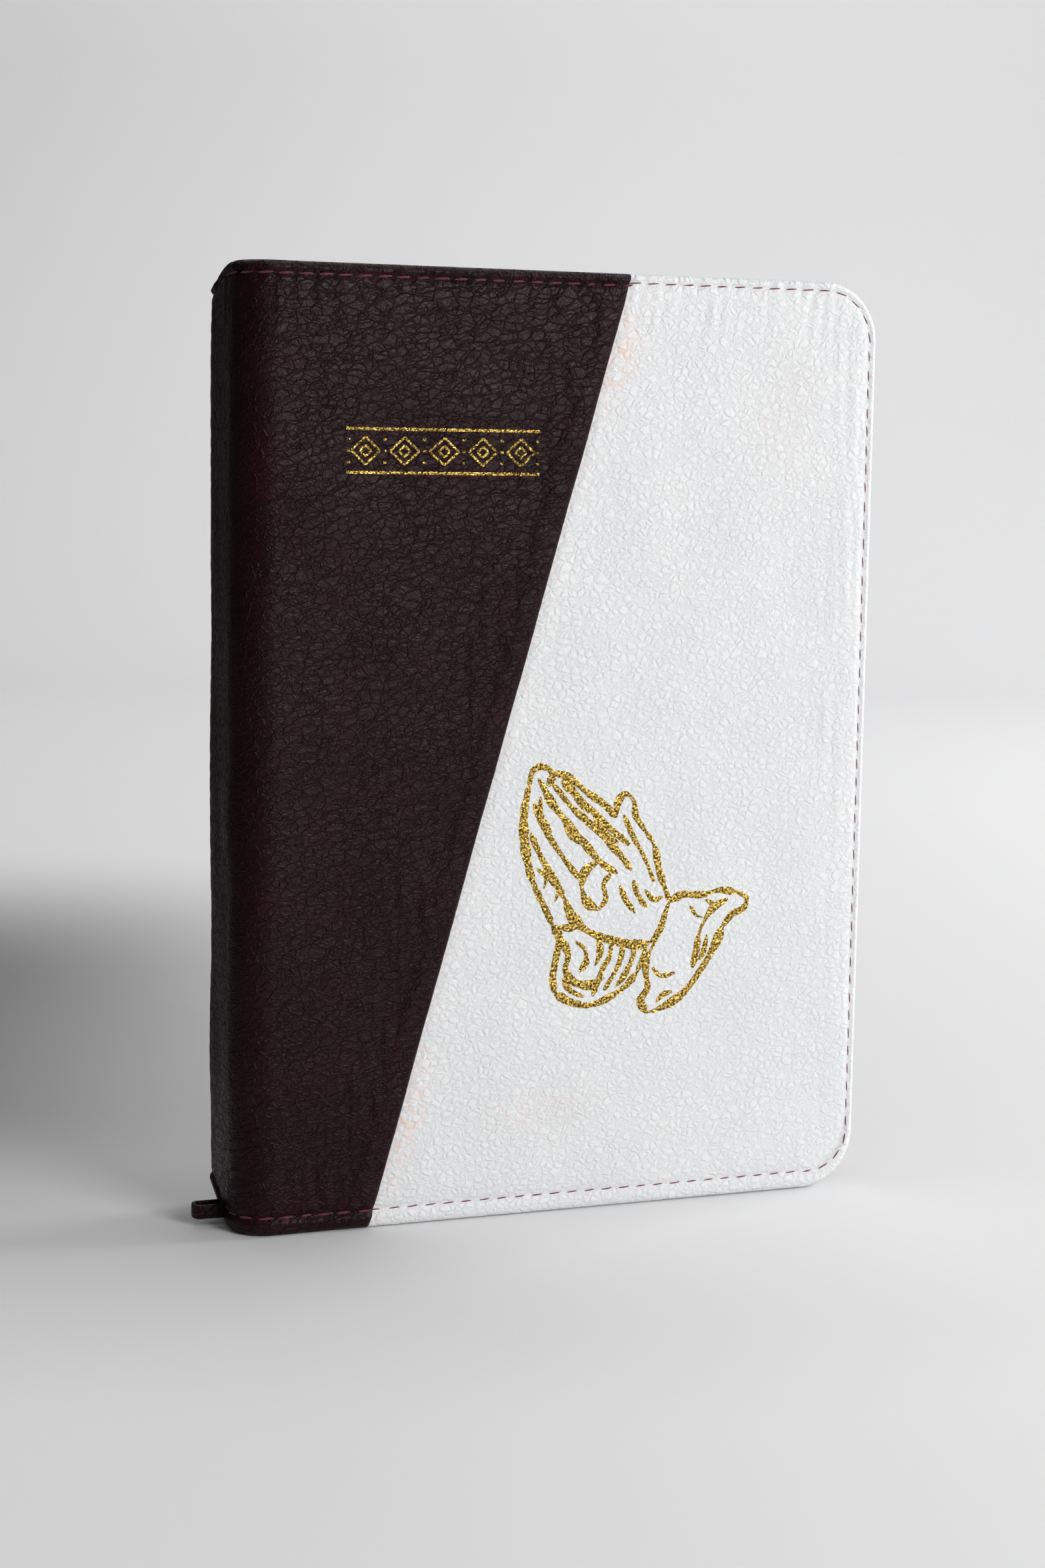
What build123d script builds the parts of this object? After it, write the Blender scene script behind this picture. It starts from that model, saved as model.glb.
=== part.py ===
"""A zip-round leather prayer book that stands on its tail edge.

Frame, in millimetres: X runs from the spine (-X) to the fore-edge (+X), Y runs from the
front cover (-Y) to the back cover (+Y) and Z runs up from the tail to the head. The origin
is at the middle of the tail, on the surface that the book stands on.

The spine is the fixed body. Each cover turns about an upright line on its outer face, where
the leather bends. The text block is bound along the spine and is made of sections, each
turning about the outer corner of its own bound edge. A zip runs round head, fore-edge and
tail, with one row of coil on each cover. Its slider runs along the head on the back row.
"""

from build123d import *
import os

os.makedirs("parts", exist_ok=True)

# Whole book
COVER_HEIGHT = 175.0
COVER_WIDTH = 124.5
BOOK_THICKNESS = 26.0

# Covers
LEATHER = 1.2
BOARD = 1.0
LINING = 0.6
RIM_WIDTH = 1.5
RIM_TURN = 0.4
CORNER_RADIUS = 11.0
BOUND_CORNER_RADIUS = 3.5
BOARD_FIT = 0.05
BOARD_SETBACK = 1.0

# Spine
SPINE_CORNER = 5.5
HINGE_SETBACK = 0.5
HINGE_GAP = 0.1
TAIL_RISE = 4.6
HEAD_DROP = 3.4
INLAY = 0.8
INLAY_MARGIN = 2.0
MULL = 0.4
MULL_MARGIN = 1.0

# Two-tone front: where the seam meets head and tail, from the spine's back
SEAM_HEAD = 73.8
SEAM_TAIL = 24.8

# Text block
SECTIONS_PER_SIDE = 5
FLYLEAF = 0.5
PAGE_GAP = 0.12
COVER_GAP = 0.15
SECTION_BEVEL = 7.0
FLYLEAF_BEVEL = 3.0
FOLD_EDGE = 0.12
PAGE_SETBACK = 3.6
PAGE_TO_SPINE = 0.3
PAGE_CORNER = 6.0
FORE_EDGE_GAP = 1.1
BLOCK_FOOT = 5.0
BLOCK_TO_SLIDER = 0.6
BACK_ROUNDING = 3.0
BAND_RADIUS = 0.6
BAND_MARGIN = 2.5

# Zip
ZIP_INSET = 3.4
TAPE = 0.5
TAPE_SETBACK = 1.0
COIL_HEIGHT = 1.3
COIL_WIDTH = 1.9
COIL_SETBACK = 4.0
ROW_GAP = 1.2
STOP_LENGTH = 2.2
STOP_GAP = 0.4

# Slider, open on the front row's side so that the row can leave it
SLIDER_LENGTH = 9.0
SLIDER_SETBACK = 8.0
SLIDER_PLATE = 0.7
SLIDER_PLAY = 0.25
FLANGE_WIDTH = 0.7
SLIT_PLAY = 0.3
POST_WIDTH = 0.6
POST_LENGTH = 1.6

# Pull, on a pin between two lugs of the slider
PIN_RADIUS = 0.35
PIN_LIFT = 0.85
EYE_PLAY = 0.08
EYE_RADIUS = 0.75
EYE_WIDTH = 1.8
LUG = 0.7
LUG_PLAY = 0.15
LUG_LENGTH = 1.5
PULL_THICKNESS = 0.8
PULL_LENGTH = 22.0
PULL_WIDTH = 5.0
PULL_NECK = 2.4
PULL_ROUNDING = 2.25

# Band folded into a loop at the zip's tail end
LOOP_REACH = 5.5
LOOP_ROOT = 4.5
LOOP_BAND = 0.8
LOOP_HEIGHT = 2.6
LOOP_WIDTH = 4.0
LOOP_FOOT = 1.5
LOOP_OFFSET = 1.0
LOOP_CORNER = 1.2
TAPE_END_WIDTH = 12.0

# Gold foil in shallow stamped recesses; places from the spine's back and from the tail
FOIL = 0.1
STAMP_DEPTH = 0.15
BAND_LEFT = 19.5
BAND_LENGTH = 36.7
BAND_FOOT = 138.0
BAND_HEIGHT = 8.5
RULE = 0.7
LOZENGES = 5
LOZENGE_SHARE = 0.62
EMBLEM_LEFT = 54.1
EMBLEM_WIDTH = 46.6
EMBLEM_FOOT = 36.3
EMBLEM_HEIGHT = 49.7
EMBLEM_ROUNDING = 1.5

# Places worked out from the sizes
fore_x = (COVER_WIDTH + LOOP_REACH) / 2
spine_x = fore_x - COVER_WIDTH
hinge_x = spine_x + SPINE_CORNER + HINGE_SETBACK
outer_y = BOOK_THICKNESS / 2
board_y = outer_y - LEATHER
lining_y = board_y - BOARD
inner_y = lining_y - LINING
rim_y = inner_y - RIM_TURN
page_x = hinge_x + PAGE_SETBACK
bound_x = page_x - PAGE_TO_SPINE
inlay_x = spine_x + LEATHER
mull_x = inlay_x + INLAY
block_x = mull_x + MULL
row_y = ROW_GAP / 2
coil_y = row_y + COIL_WIDTH
zip_head_z = COVER_HEIGHT - ZIP_INSET
channel = COIL_HEIGHT / 2 + SLIDER_PLAY
slider_reach = channel + SLIDER_PLATE
slider_x = hinge_x + SLIDER_SETBACK
pin_x = slider_x + SLIDER_LENGTH / 2
pin_z = zip_head_z + slider_reach + PIN_LIFT
block_head = zip_head_z - slider_reach - BLOCK_TO_SLIDER
block_fore_x = fore_x - ZIP_INSET - COIL_HEIGHT / 2 - FORE_EDGE_GAP
flyleaf_y = inner_y - COVER_GAP
sections_y = flyleaf_y - FLYLEAF - PAGE_GAP
section_pitch = (sections_y + PAGE_GAP / 2) / SECTIONS_PER_SIDE
section_thickness = section_pitch - PAGE_GAP
loop_top = LOOP_FOOT + LOOP_HEIGHT

SIDES = {"front": -1, "back": 1}


def save(part, label):
    """Labels a finished piece and writes its STEP file."""
    part.label = label
    export_step(part, f"parts/{label}.step")


def facing_front(y):
    """A plane at depth y whose own axes are the book's X and Z. It faces the front."""
    return Plane.XZ.offset(-y)


def draw_cover(inset, start):
    """Draws a cover's outline in the open sketch: straight at x = start, inset elsewhere."""
    with BuildLine() as outline:
        Polyline(
            (start, inset),
            (fore_x - inset, inset),
            (fore_x - inset, COVER_HEIGHT - inset),
            (start, COVER_HEIGHT - inset),
            close=True,
        )
    face = make_face(outline.edges())
    fillet(face.vertices().group_by(Axis.X)[-1], radius=CORNER_RADIUS - inset)


def cover_layer(side, inset, start, outside, inside):
    """A slab of a cover's outline between two depths, counted from the book's middle."""
    with BuildPart() as layer:
        with BuildSketch(facing_front(side * outside)):
            draw_cover(inset, start)
        extrude(amount=side * (outside - inside))
    return layer.part


def cover_leather(side):
    """One cover's leather: a sheet with its edge turned in at head, fore-edge and tail."""
    with BuildPart() as leather:
        add(cover_layer(side, 0, hinge_x, outer_y, board_y))
        fillet(leather.edges().filter_by(Axis.Y).group_by(Axis.X)[0], BOUND_CORNER_RADIUS)
        add(cover_layer(side, 0, hinge_x + BOUND_CORNER_RADIUS, board_y, rim_y))
        hollow = cover_layer(side, RIM_WIDTH, hinge_x - RIM_WIDTH, board_y, rim_y)
        add(hollow, mode=Mode.SUBTRACT)
    return leather.part


def zip_wall(side, thickness, start, outside, inside):
    """A U-shaped wall on the line of the zip, between two depths of one cover."""
    with BuildPart() as wall:
        add(cover_layer(side, ZIP_INSET - thickness / 2, start, outside, inside))
        hollow = cover_layer(side, ZIP_INSET + thickness / 2, start - TAPE, outside, inside)
        add(hollow, mode=Mode.SUBTRACT)
    return wall.part


def zip_stops(side):
    """The two clips that end one row of coil, at the head and at the tail."""
    stop_x = hinge_x + COIL_SETBACK - STOP_GAP - STOP_LENGTH / 2
    stop_y = side * (row_y + coil_y) / 2
    with BuildPart() as stops:
        with Locations((stop_x, stop_y, zip_head_z), (stop_x, stop_y, ZIP_INSET)):
            Box(STOP_LENGTH, COIL_WIDTH, COIL_HEIGHT)
    return stops.part


def leaf(side, outside, thickness, bevel):
    """Bound leaves: a slab that narrows to its fold at the spine, with rounded corners."""
    inside = outside - thickness
    with BuildPart() as leaves:
        with BuildSketch(Plane.XY.offset(BLOCK_FOOT)):
            with BuildLine():
                Polyline(
                    (page_x, side * outside),
                    (block_fore_x, side * outside),
                    (block_fore_x, side * inside),
                    (page_x + bevel, side * inside),
                    (page_x, side * (outside - FOLD_EDGE)),
                    close=True,
                )
            make_face()
        extrude(amount=block_head - BLOCK_FOOT)
        fillet(leaves.edges().filter_by(Axis.Y).group_by(Axis.X)[-1], PAGE_CORNER)
    return leaves.part


def draw_band():
    """Draws two rules with a row of lozenges between them in the open sketch."""
    middle_x = spine_x + BAND_LEFT + BAND_LENGTH / 2
    middle_z = BAND_FOOT + BAND_HEIGHT / 2
    lozenge = (BAND_HEIGHT - 2 * RULE) * LOZENGE_SHARE / 2
    with Locations((middle_x, middle_z)):
        with GridLocations(BAND_LENGTH, BAND_HEIGHT - RULE, 1, 2):
            Rectangle(BAND_LENGTH, RULE)
        with GridLocations(BAND_LENGTH / LOZENGES, BAND_HEIGHT, LOZENGES, 1):
            RegularPolygon(lozenge, 4)


def draw_emblem():
    """Draws the outline of two hands pressed together above their cuffs."""
    shares = [
        (0.05, 1.00),
        (0.34, 0.84),
        (0.60, 0.66),
        (0.74, 0.44),
        (0.97, 0.47),
        (1.00, 0.34),
        (0.76, 0.12),
        (0.46, 0.00),
        (0.34, 0.24),
        (0.08, 0.42),
        (0.00, 0.70),
    ]
    points = [
        (spine_x + EMBLEM_LEFT + across * EMBLEM_WIDTH, EMBLEM_FOOT + up * EMBLEM_HEIGHT)
        for across, up in shares
    ]
    with BuildLine() as outline:
        Polyline(*points, close=True)
    face = make_face(outline.edges())
    fillet(face.vertices(), radius=EMBLEM_ROUNDING)


def foil(draw):
    """A film of foil on the floor of its stamped recess in the front cover."""
    with BuildPart() as film:
        with BuildSketch(facing_front(STAMP_DEPTH - outer_y)):
            draw()
        extrude(amount=FOIL)
    return film.part


# Covers
seam_run = SEAM_HEAD - SEAM_TAIL
seam_plane = Plane(
    origin=(spine_x + SEAM_TAIL, 0, 0),
    x_dir=(0, 1, 0),
    z_dir=(COVER_HEIGHT, 0, -seam_run),
)
front_leather = cover_leather(SIDES["front"])

with BuildPart() as wine_panel:
    add(front_leather)
    split(bisect_by=seam_plane, keep=Keep.BOTTOM)
    with BuildSketch(facing_front(-outer_y)):
        draw_band()
    extrude(amount=-STAMP_DEPTH, mode=Mode.SUBTRACT)
save(wine_panel.part, "front_leather_wine")

with BuildPart() as white_panel:
    add(front_leather)
    split(bisect_by=seam_plane, keep=Keep.TOP)
    with BuildSketch(facing_front(-outer_y)):
        draw_emblem()
    extrude(amount=-STAMP_DEPTH, mode=Mode.SUBTRACT)
save(white_panel.part, "front_leather_white")

save(cover_leather(SIDES["back"]), "back_leather")
save(foil(draw_band), "foil_band")
save(foil(draw_emblem), "foil_emblem")

for name, side in SIDES.items():
    inset = RIM_WIDTH + BOARD_FIT
    start = hinge_x + BOARD_SETBACK
    save(cover_layer(side, inset, start, board_y, lining_y), f"{name}_board")
    save(cover_layer(side, inset, start, lining_y, inner_y), f"{name}_lining")

# Spine
with BuildPart() as spine_leather:
    with BuildSketch(Plane.XY.offset(TAIL_RISE)):
        with Locations((spine_x, 0)):
            wrap = Rectangle(
                hinge_x - HINGE_GAP - spine_x, 2 * outer_y, align=(Align.MIN, Align.CENTER)
            )
        fillet(wrap.vertices().group_by(Axis.X)[0], radius=SPINE_CORNER)
    extrude(amount=COVER_HEIGHT - TAIL_RISE - HEAD_DROP)
    with BuildSketch(Plane.XY.offset(TAIL_RISE)):
        with Locations((spine_x + LEATHER, 0)):
            room = Rectangle(
                hinge_x - spine_x, 2 * board_y, align=(Align.MIN, Align.CENTER)
            )
        fillet(room.vertices().group_by(Axis.X)[0], radius=SPINE_CORNER - LEATHER)
    extrude(amount=COVER_HEIGHT - TAIL_RISE - HEAD_DROP, mode=Mode.SUBTRACT)
save(spine_leather.part, "spine_leather")

inlay_width = 2 * (outer_y - SPINE_CORNER)
inlay_foot = TAIL_RISE + INLAY_MARGIN
with BuildPart() as spine_inlay:
    with BuildSketch(Plane.XY.offset(inlay_foot)):
        with Locations((inlay_x, 0)):
            Rectangle(INLAY, inlay_width, align=(Align.MIN, Align.CENTER))
    extrude(amount=COVER_HEIGHT - HEAD_DROP - INLAY_MARGIN - inlay_foot)
save(spine_inlay.part, "spine_inlay")

with BuildPart() as mull:
    with BuildSketch(Plane.XY.offset(BLOCK_FOOT + MULL_MARGIN)):
        with Locations((mull_x, 0)):
            Rectangle(MULL, inlay_width, align=(Align.MIN, Align.CENTER))
    extrude(amount=block_head - BLOCK_FOOT - 2 * MULL_MARGIN)
save(mull.part, "spine_mull")

with BuildPart() as bound_spine:
    with BuildSketch(Plane.XY.offset(BLOCK_FOOT)):
        with Locations((block_x, 0)):
            backs = Rectangle(bound_x - block_x, 2 * flyleaf_y, align=(Align.MIN, Align.CENTER))
        fillet(backs.vertices().group_by(Axis.X)[0], radius=BACK_ROUNDING)
    extrude(amount=block_head - BLOCK_FOOT)
save(bound_spine.part, "bound_section_backs")

band_x = (block_x + bound_x) / 2
band_length = 2 * (flyleaf_y - BAND_MARGIN)
for name, band_z in {
    "headband": block_head + BAND_RADIUS,
    "tailband": BLOCK_FOOT - BAND_RADIUS,
}.items():
    with BuildPart() as band:
        with BuildSketch(Plane.XZ):
            with Locations((band_x, band_z)):
                Circle(BAND_RADIUS)
        extrude(amount=band_length / 2, both=True)
    save(band.part, name)

# Text block
for name, side in SIDES.items():
    save(leaf(side, flyleaf_y, FLYLEAF, FLYLEAF_BEVEL), f"{name}_flyleaf")
    for number in range(SECTIONS_PER_SIDE):
        outside = sections_y - number * section_pitch
        section = leaf(side, outside, section_thickness, SECTION_BEVEL)
        save(section, f"{name}_section_{number + 1}")

# Zip
for name, side in SIDES.items():
    tape = zip_wall(side, TAPE, hinge_x + TAPE_SETBACK, inner_y, coil_y)
    coil = zip_wall(side, COIL_HEIGHT, hinge_x + COIL_SETBACK, coil_y, row_y)
    save(tape, f"zip_tape_{name}")
    save(coil, f"zip_coil_{name}")
    save(zip_stops(side), f"zip_stops_{name}")

slider_back = coil_y + SLIDER_PLAY + FLANGE_WIDTH
slider_width = slider_back + coil_y
slit = TAPE / 2 + SLIT_PLAY
lug_y = EYE_WIDTH / 2 + LUG_PLAY + LUG / 2
with BuildPart() as slider:
    with BuildSketch(Plane.YZ.offset(slider_x)):
        with Locations((-coil_y, zip_head_z)):
            Rectangle(slider_width, 2 * slider_reach, align=(Align.MIN, Align.CENTER))
            Rectangle(
                slider_width - FLANGE_WIDTH,
                2 * channel,
                align=(Align.MIN, Align.CENTER),
                mode=Mode.SUBTRACT,
            )
            Rectangle(
                slider_width,
                2 * slit,
                align=(Align.MIN, Align.CENTER),
                mode=Mode.SUBTRACT,
            )
    extrude(amount=SLIDER_LENGTH)
    with Locations((slider_x + POST_LENGTH / 2, 0, zip_head_z)):
        Box(POST_LENGTH, POST_WIDTH, 2 * channel)
    for side in SIDES.values():
        with BuildSketch(facing_front(side * (lug_y + LUG / 2))):
            with Locations((pin_x, pin_z)):
                Circle(EYE_RADIUS)
                Rectangle(LUG_LENGTH, PIN_LIFT, align=(Align.CENTER, Align.MAX))
        extrude(amount=side * LUG)
    with BuildSketch(facing_front(0)):
        with Locations((pin_x, pin_z)):
            Circle(PIN_RADIUS)
    extrude(amount=lug_y, both=True)
save(slider.part, "zip_slider")

with BuildPart() as pull:
    with BuildSketch(Plane.XY.offset(pin_z - PULL_THICKNESS / 2)):
        with Locations((pin_x, 0)):
            Rectangle(PULL_LENGTH / 2, EYE_WIDTH, align=(Align.MIN, Align.CENTER))
        with Locations((pin_x + PULL_NECK, 0)):
            tongue = Rectangle(
                PULL_LENGTH - PULL_NECK, PULL_WIDTH, align=(Align.MIN, Align.CENTER)
            )
        fillet(tongue.vertices().group_by(Axis.X)[-1], radius=PULL_ROUNDING)
    extrude(amount=PULL_THICKNESS)
    with BuildSketch(facing_front(0)):
        with Locations((pin_x, pin_z)):
            Circle(EYE_RADIUS)
    extrude(amount=EYE_WIDTH / 2, both=True)
    with BuildSketch(facing_front(0)):
        with Locations((pin_x, pin_z)):
            Circle(PIN_RADIUS + EYE_PLAY)
    extrude(amount=PULL_WIDTH, both=True, mode=Mode.SUBTRACT)
save(pull.part, "zip_pull")

# Tail end of the zip
loop_x = spine_x - LOOP_REACH
loop_length = LOOP_REACH + LOOP_ROOT
with BuildPart() as loop:
    with BuildSketch(Plane.XY.offset(LOOP_FOOT)):
        with Locations((loop_x, -LOOP_OFFSET)):
            fold = Rectangle(loop_length, LOOP_WIDTH, align=(Align.MIN, Align.CENTER))
        fillet(fold.vertices().group_by(Axis.X)[0], radius=LOOP_CORNER)
        with Locations((loop_x + LOOP_BAND, -LOOP_OFFSET)):
            Rectangle(
                loop_length,
                LOOP_WIDTH - 2 * LOOP_BAND,
                align=(Align.MIN, Align.CENTER),
                mode=Mode.SUBTRACT,
            )
    extrude(amount=LOOP_HEIGHT)
save(loop.part, "zip_end_loop")

with BuildPart() as tape_end:
    with BuildSketch(Plane.XY.offset(loop_top)):
        with Locations((block_x, 0)):
            Rectangle(
                spine_x + LOOP_ROOT - block_x,
                TAPE_END_WIDTH,
                align=(Align.MIN, Align.CENTER),
            )
    extrude(amount=BLOCK_FOOT - loop_top)
save(tape_end.part, "zip_tape_end")
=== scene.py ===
"""Finished look of a zip-round leather prayer book that stands on its tail edge.

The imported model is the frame. Lengths in this file are millimetres and become metres when a
mesh is made. X runs from the spine to the fore-edge, Y from the front cover to the back
cover and Z up. A place on a cover's leather is (s, z), where s is the distance round the
book from the middle of the spine.
"""

import logging
import math
from dataclasses import dataclass
from enum import Enum
from typing import Any

import bmesh
import bpy
import numpy as np
from mathutils import Matrix, Vector

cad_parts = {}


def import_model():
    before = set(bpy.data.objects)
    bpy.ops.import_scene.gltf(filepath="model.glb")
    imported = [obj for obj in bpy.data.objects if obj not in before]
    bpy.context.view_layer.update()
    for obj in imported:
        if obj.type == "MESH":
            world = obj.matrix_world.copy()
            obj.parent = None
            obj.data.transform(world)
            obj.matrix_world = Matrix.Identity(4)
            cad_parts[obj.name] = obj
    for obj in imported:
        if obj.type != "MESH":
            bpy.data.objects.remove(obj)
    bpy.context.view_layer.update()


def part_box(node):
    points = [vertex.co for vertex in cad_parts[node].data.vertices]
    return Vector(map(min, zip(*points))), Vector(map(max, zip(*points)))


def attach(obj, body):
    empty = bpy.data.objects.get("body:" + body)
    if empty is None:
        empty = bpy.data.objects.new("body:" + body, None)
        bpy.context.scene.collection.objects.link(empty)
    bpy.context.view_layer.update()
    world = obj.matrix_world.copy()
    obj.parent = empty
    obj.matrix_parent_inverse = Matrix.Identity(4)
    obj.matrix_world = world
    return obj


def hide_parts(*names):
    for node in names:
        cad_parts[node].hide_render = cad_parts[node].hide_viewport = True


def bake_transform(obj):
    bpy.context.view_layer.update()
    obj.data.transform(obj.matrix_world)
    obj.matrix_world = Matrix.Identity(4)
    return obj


MM = 0.001
log = logging.getLogger("prayer_book")
Array = np.ndarray
Colour = tuple[float, float, float, float]
QUARTER = math.pi / 2
CAMERA_YAW = math.radians(20.59)
AHEAD = (math.sin(CAMERA_YAW), math.cos(CAMERA_YAW))


# ---- plain maths


def smooth(value: Array, low: float, high: float) -> Array:
    """Runs smoothly from 0 at low to 1 at high."""
    t = np.clip((value - low) / (high - low), 0.0, 1.0)
    return t * t * (3.0 - 2.0 * t)


def bell(value: Array, width: float) -> Array:
    """A bump of height 1 at 0 that has died away by twice the width."""
    return np.exp(-((value / width) ** 2))


def waves(u: Array, v: Array, length: float, seed: int, count: int = 9) -> Array:
    """Soft random waviness made of plane waves.

    Args:
        u: First coordinate.
        v: Second coordinate.
        length: Typical wavelength.
        seed: Fixes the directions and phases.
        count: How many waves are summed.

    Returns:
        A height of about -1 to 1 at each point.
    """
    draw = np.random.RandomState(seed)
    total = np.zeros(np.broadcast(u, v).shape)
    for _ in range(count):
        turn, phase = draw.uniform(0, 2 * math.pi, 2)
        rate = 2 * math.pi / (length * draw.uniform(0.6, 1.6))
        total += np.sin(rate * (u * math.cos(turn) + v * math.sin(turn)) + phase)
    return total / math.sqrt(count)


def pebbles(u: Array, v: Array, seed: int) -> Array:
    """Rounded cells on a jittered grid of pitch 1.

    Args:
        u: First coordinate, in cells.
        v: Second coordinate, in cells.
        seed: Fixes the jitter.

    Returns:
        0 in the valleys between cells, 1 on top of them.
    """
    column, row = np.floor(u), np.floor(v)
    nearest = np.full(u.shape, 9.0)
    second = np.full(u.shape, 9.0)
    for across in (-1, 0, 1):
        for up in (-1, 0, 1):
            cu, cv = column + across, row + up
            mix = np.sin(cu * 127.1 + cv * 311.7 + seed * 74.7) * 43758.5453
            other = np.sin(cu * 269.5 + cv * 183.3 + seed * 41.3) * 24634.6345
            away = np.hypot(cu + mix % 1.0 - u, cv + other % 1.0 - v)
            second = np.minimum(second, np.maximum(nearest, away))
            nearest = np.minimum(nearest, away)
    return smooth(second - nearest, 0.0, 0.5)


# ---- node graphs


class Value:
    """A number on a node tree. Arithmetic on it adds Math nodes."""

    def __init__(self, sheet: "NodeSheet", socket: bpy.types.NodeSocket) -> None:
        """Wraps an output socket of a sheet's tree."""
        self.sheet = sheet
        self.socket = socket

    def _math(self, operation: str, first: Any, second: Any) -> "Value":
        """Adds one Math node and returns its result."""
        return self.sheet.value("ShaderNodeMath", {"operation": operation}, {0: first, 1: second})

    def __add__(self, other: Any) -> "Value":
        """self + other"""
        return self._math("ADD", self, other)

    __radd__ = __add__

    def __sub__(self, other: Any) -> "Value":
        """self - other"""
        return self._math("SUBTRACT", self, other)

    def __rsub__(self, other: Any) -> "Value":
        """other - self"""
        return self._math("SUBTRACT", other, self)

    def __mul__(self, other: Any) -> "Value":
        """self * other"""
        return self._math("MULTIPLY", self, other)

    __rmul__ = __mul__

    def __truediv__(self, other: Any) -> "Value":
        """self / other"""
        return self._math("DIVIDE", self, other)

    def sine(self) -> "Value":
        """The sine of an angle in radians."""
        return self._math("SINE", self, 0.0)

    def size(self) -> "Value":
        """The value without its sign."""
        return self._math("ABSOLUTE", self, 0.0)

    def ramp(self, low: float, high: float) -> "Value":
        """Runs smoothly from 0 at low to 1 at high."""
        settings = {"interpolation_type": "SMOOTHSTEP"}
        places = {"Value": self, "From Min": low, "From Max": high}
        return self.sheet.value("ShaderNodeMapRange", settings, places)


class NodeSheet:
    """A node tree with one method that adds any node."""

    def __init__(self, tree: bpy.types.NodeTree) -> None:
        """Takes the tree that nodes are added to."""
        self.tree = tree

    def add(self, kind: str, settings: dict | None = None, inputs: dict | None = None):
        """Adds a node.

        Args:
            kind: The node's type name.
            settings: The node's properties, set first.
            inputs: Values or links for its sockets, by name or number.

        Returns:
            The new node.
        """
        node = self.tree.nodes.new(kind)
        for name, setting in (settings or {}).items():
            setattr(node, name, setting)
        for name, given in (inputs or {}).items():
            source = given.socket if isinstance(given, Value) else given
            if isinstance(source, bpy.types.NodeSocket):
                self.tree.links.new(source, node.inputs[name])
            else:
                node.inputs[name].default_value = source
        return node

    def value(self, kind: str, settings: dict, inputs: dict, output: Any = 0) -> Value:
        """Adds a node and returns one of its outputs as a number."""
        return Value(self, self.add(kind, settings, inputs).outputs[output])


class Surface(NodeSheet):
    """One material's nodes, round a single Principled shader."""

    def __init__(self, name: str, follows: bool) -> None:
        """Starts an empty material.

        Args:
            name: The material's name.
            follows: True where the pattern follows the piece's "flat" attribute.
        """
        self.material = bpy.data.materials.new(name)
        self.material.use_nodes = True
        super().__init__(self.material.node_tree)
        self.tree.nodes.clear()
        if follows:
            self.place = self.add("ShaderNodeAttribute", {"attribute_name": "flat"}).outputs["Vector"]
        else:
            own = self.add("ShaderNodeTexCoord").outputs["Object"]
            scale = {"Vector": own, "Scale": (1 / MM, 1 / MM, 1 / MM)}
            self.place = self.add("ShaderNodeMapping", {}, scale).outputs[0]

    def axis(self, name: str) -> Value:
        """The X, Y or Z of the place, in millimetres."""
        return self.value("ShaderNodeSeparateXYZ", {}, {0: self.place}, name)

    def turned(self, stretch: tuple, tilt: float = 0.0, wander: float = 0.0):
        """The place stretched and turned about Y, and shaken by noise.

        Args:
            stretch: The pattern's repeats per millimetre along each axis.
            tilt: The turn in radians.
            wander: How far noise moves a point, in millimetres.

        Returns:
            The vector socket.
        """
        place = self.place
        if wander:
            noise = self.add("ShaderNodeTexNoise", {}, {"Vector": place, "Scale": 0.35, "Detail": 2.0})
            centred = {0: noise.outputs["Color"], 1: (0.5, 0.5, 0.5)}
            shake = self.add("ShaderNodeVectorMath", {"operation": "SUBTRACT"}, centred).outputs[0]
            reach = {0: shake, 1: (wander, wander, wander), 2: place}
            place = self.add("ShaderNodeVectorMath", {"operation": "MULTIPLY_ADD"}, reach).outputs[0]
        turn = self.add("ShaderNodeMapping", {}, {"Vector": place, "Rotation": (0.0, tilt, 0.0)})
        return self.add("ShaderNodeMapping", {}, {"Vector": turn.outputs[0], "Scale": stretch}).outputs[0]

    def noise(self, scale: float, detail: float = 3.0, vector: Any = None) -> Value:
        """Noise from 0 to 1, scale in repeats per millimetre."""
        inputs = {"Vector": vector or self.place, "Scale": scale, "Detail": detail}
        return self.value("ShaderNodeTexNoise", {}, inputs, "Fac")

    def cells(self, vector: Any, randomness: float = 1.0) -> Value:
        """The distance to the nearest valley between cells of pitch 1."""
        inputs = {"Vector": vector, "Scale": 1.0, "Randomness": randomness}
        return self.value("ShaderNodeTexVoronoi", {"feature": "DISTANCE_TO_EDGE"}, inputs, "Distance")

    def mix(self, share: Any, low: Any, high: Any):
        """Mixes two colours by a share from 0 to 1."""
        settings = {"data_type": "RGBA", "clamp_factor": True}
        return self.add("ShaderNodeMix", settings, {0: share, 6: low, 7: high}).outputs[2]

    def finish(self, height: Value | None, depth: float, **inputs: Any) -> bpy.types.Material:
        """Closes the material.

        Args:
            height: Relief from 0 to 1, or None for a smooth surface.
            depth: The relief's depth in millimetres.
            **inputs: The shader's sockets, with underscores for spaces.

        Returns:
            The finished material.
        """
        places = {name.replace("_", " "): given for name, given in inputs.items()}
        if height is not None:
            bump = self.add("ShaderNodeBump", {}, {"Height": height, "Distance": depth * MM})
            places["Normal"] = bump.outputs[0]
        shader = self.add("ShaderNodeBsdfPrincipled", {}, places)
        self.add("ShaderNodeOutputMaterial", {}, {"Surface": shader.outputs[0]})
        return self.material


# ---- finishes


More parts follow.
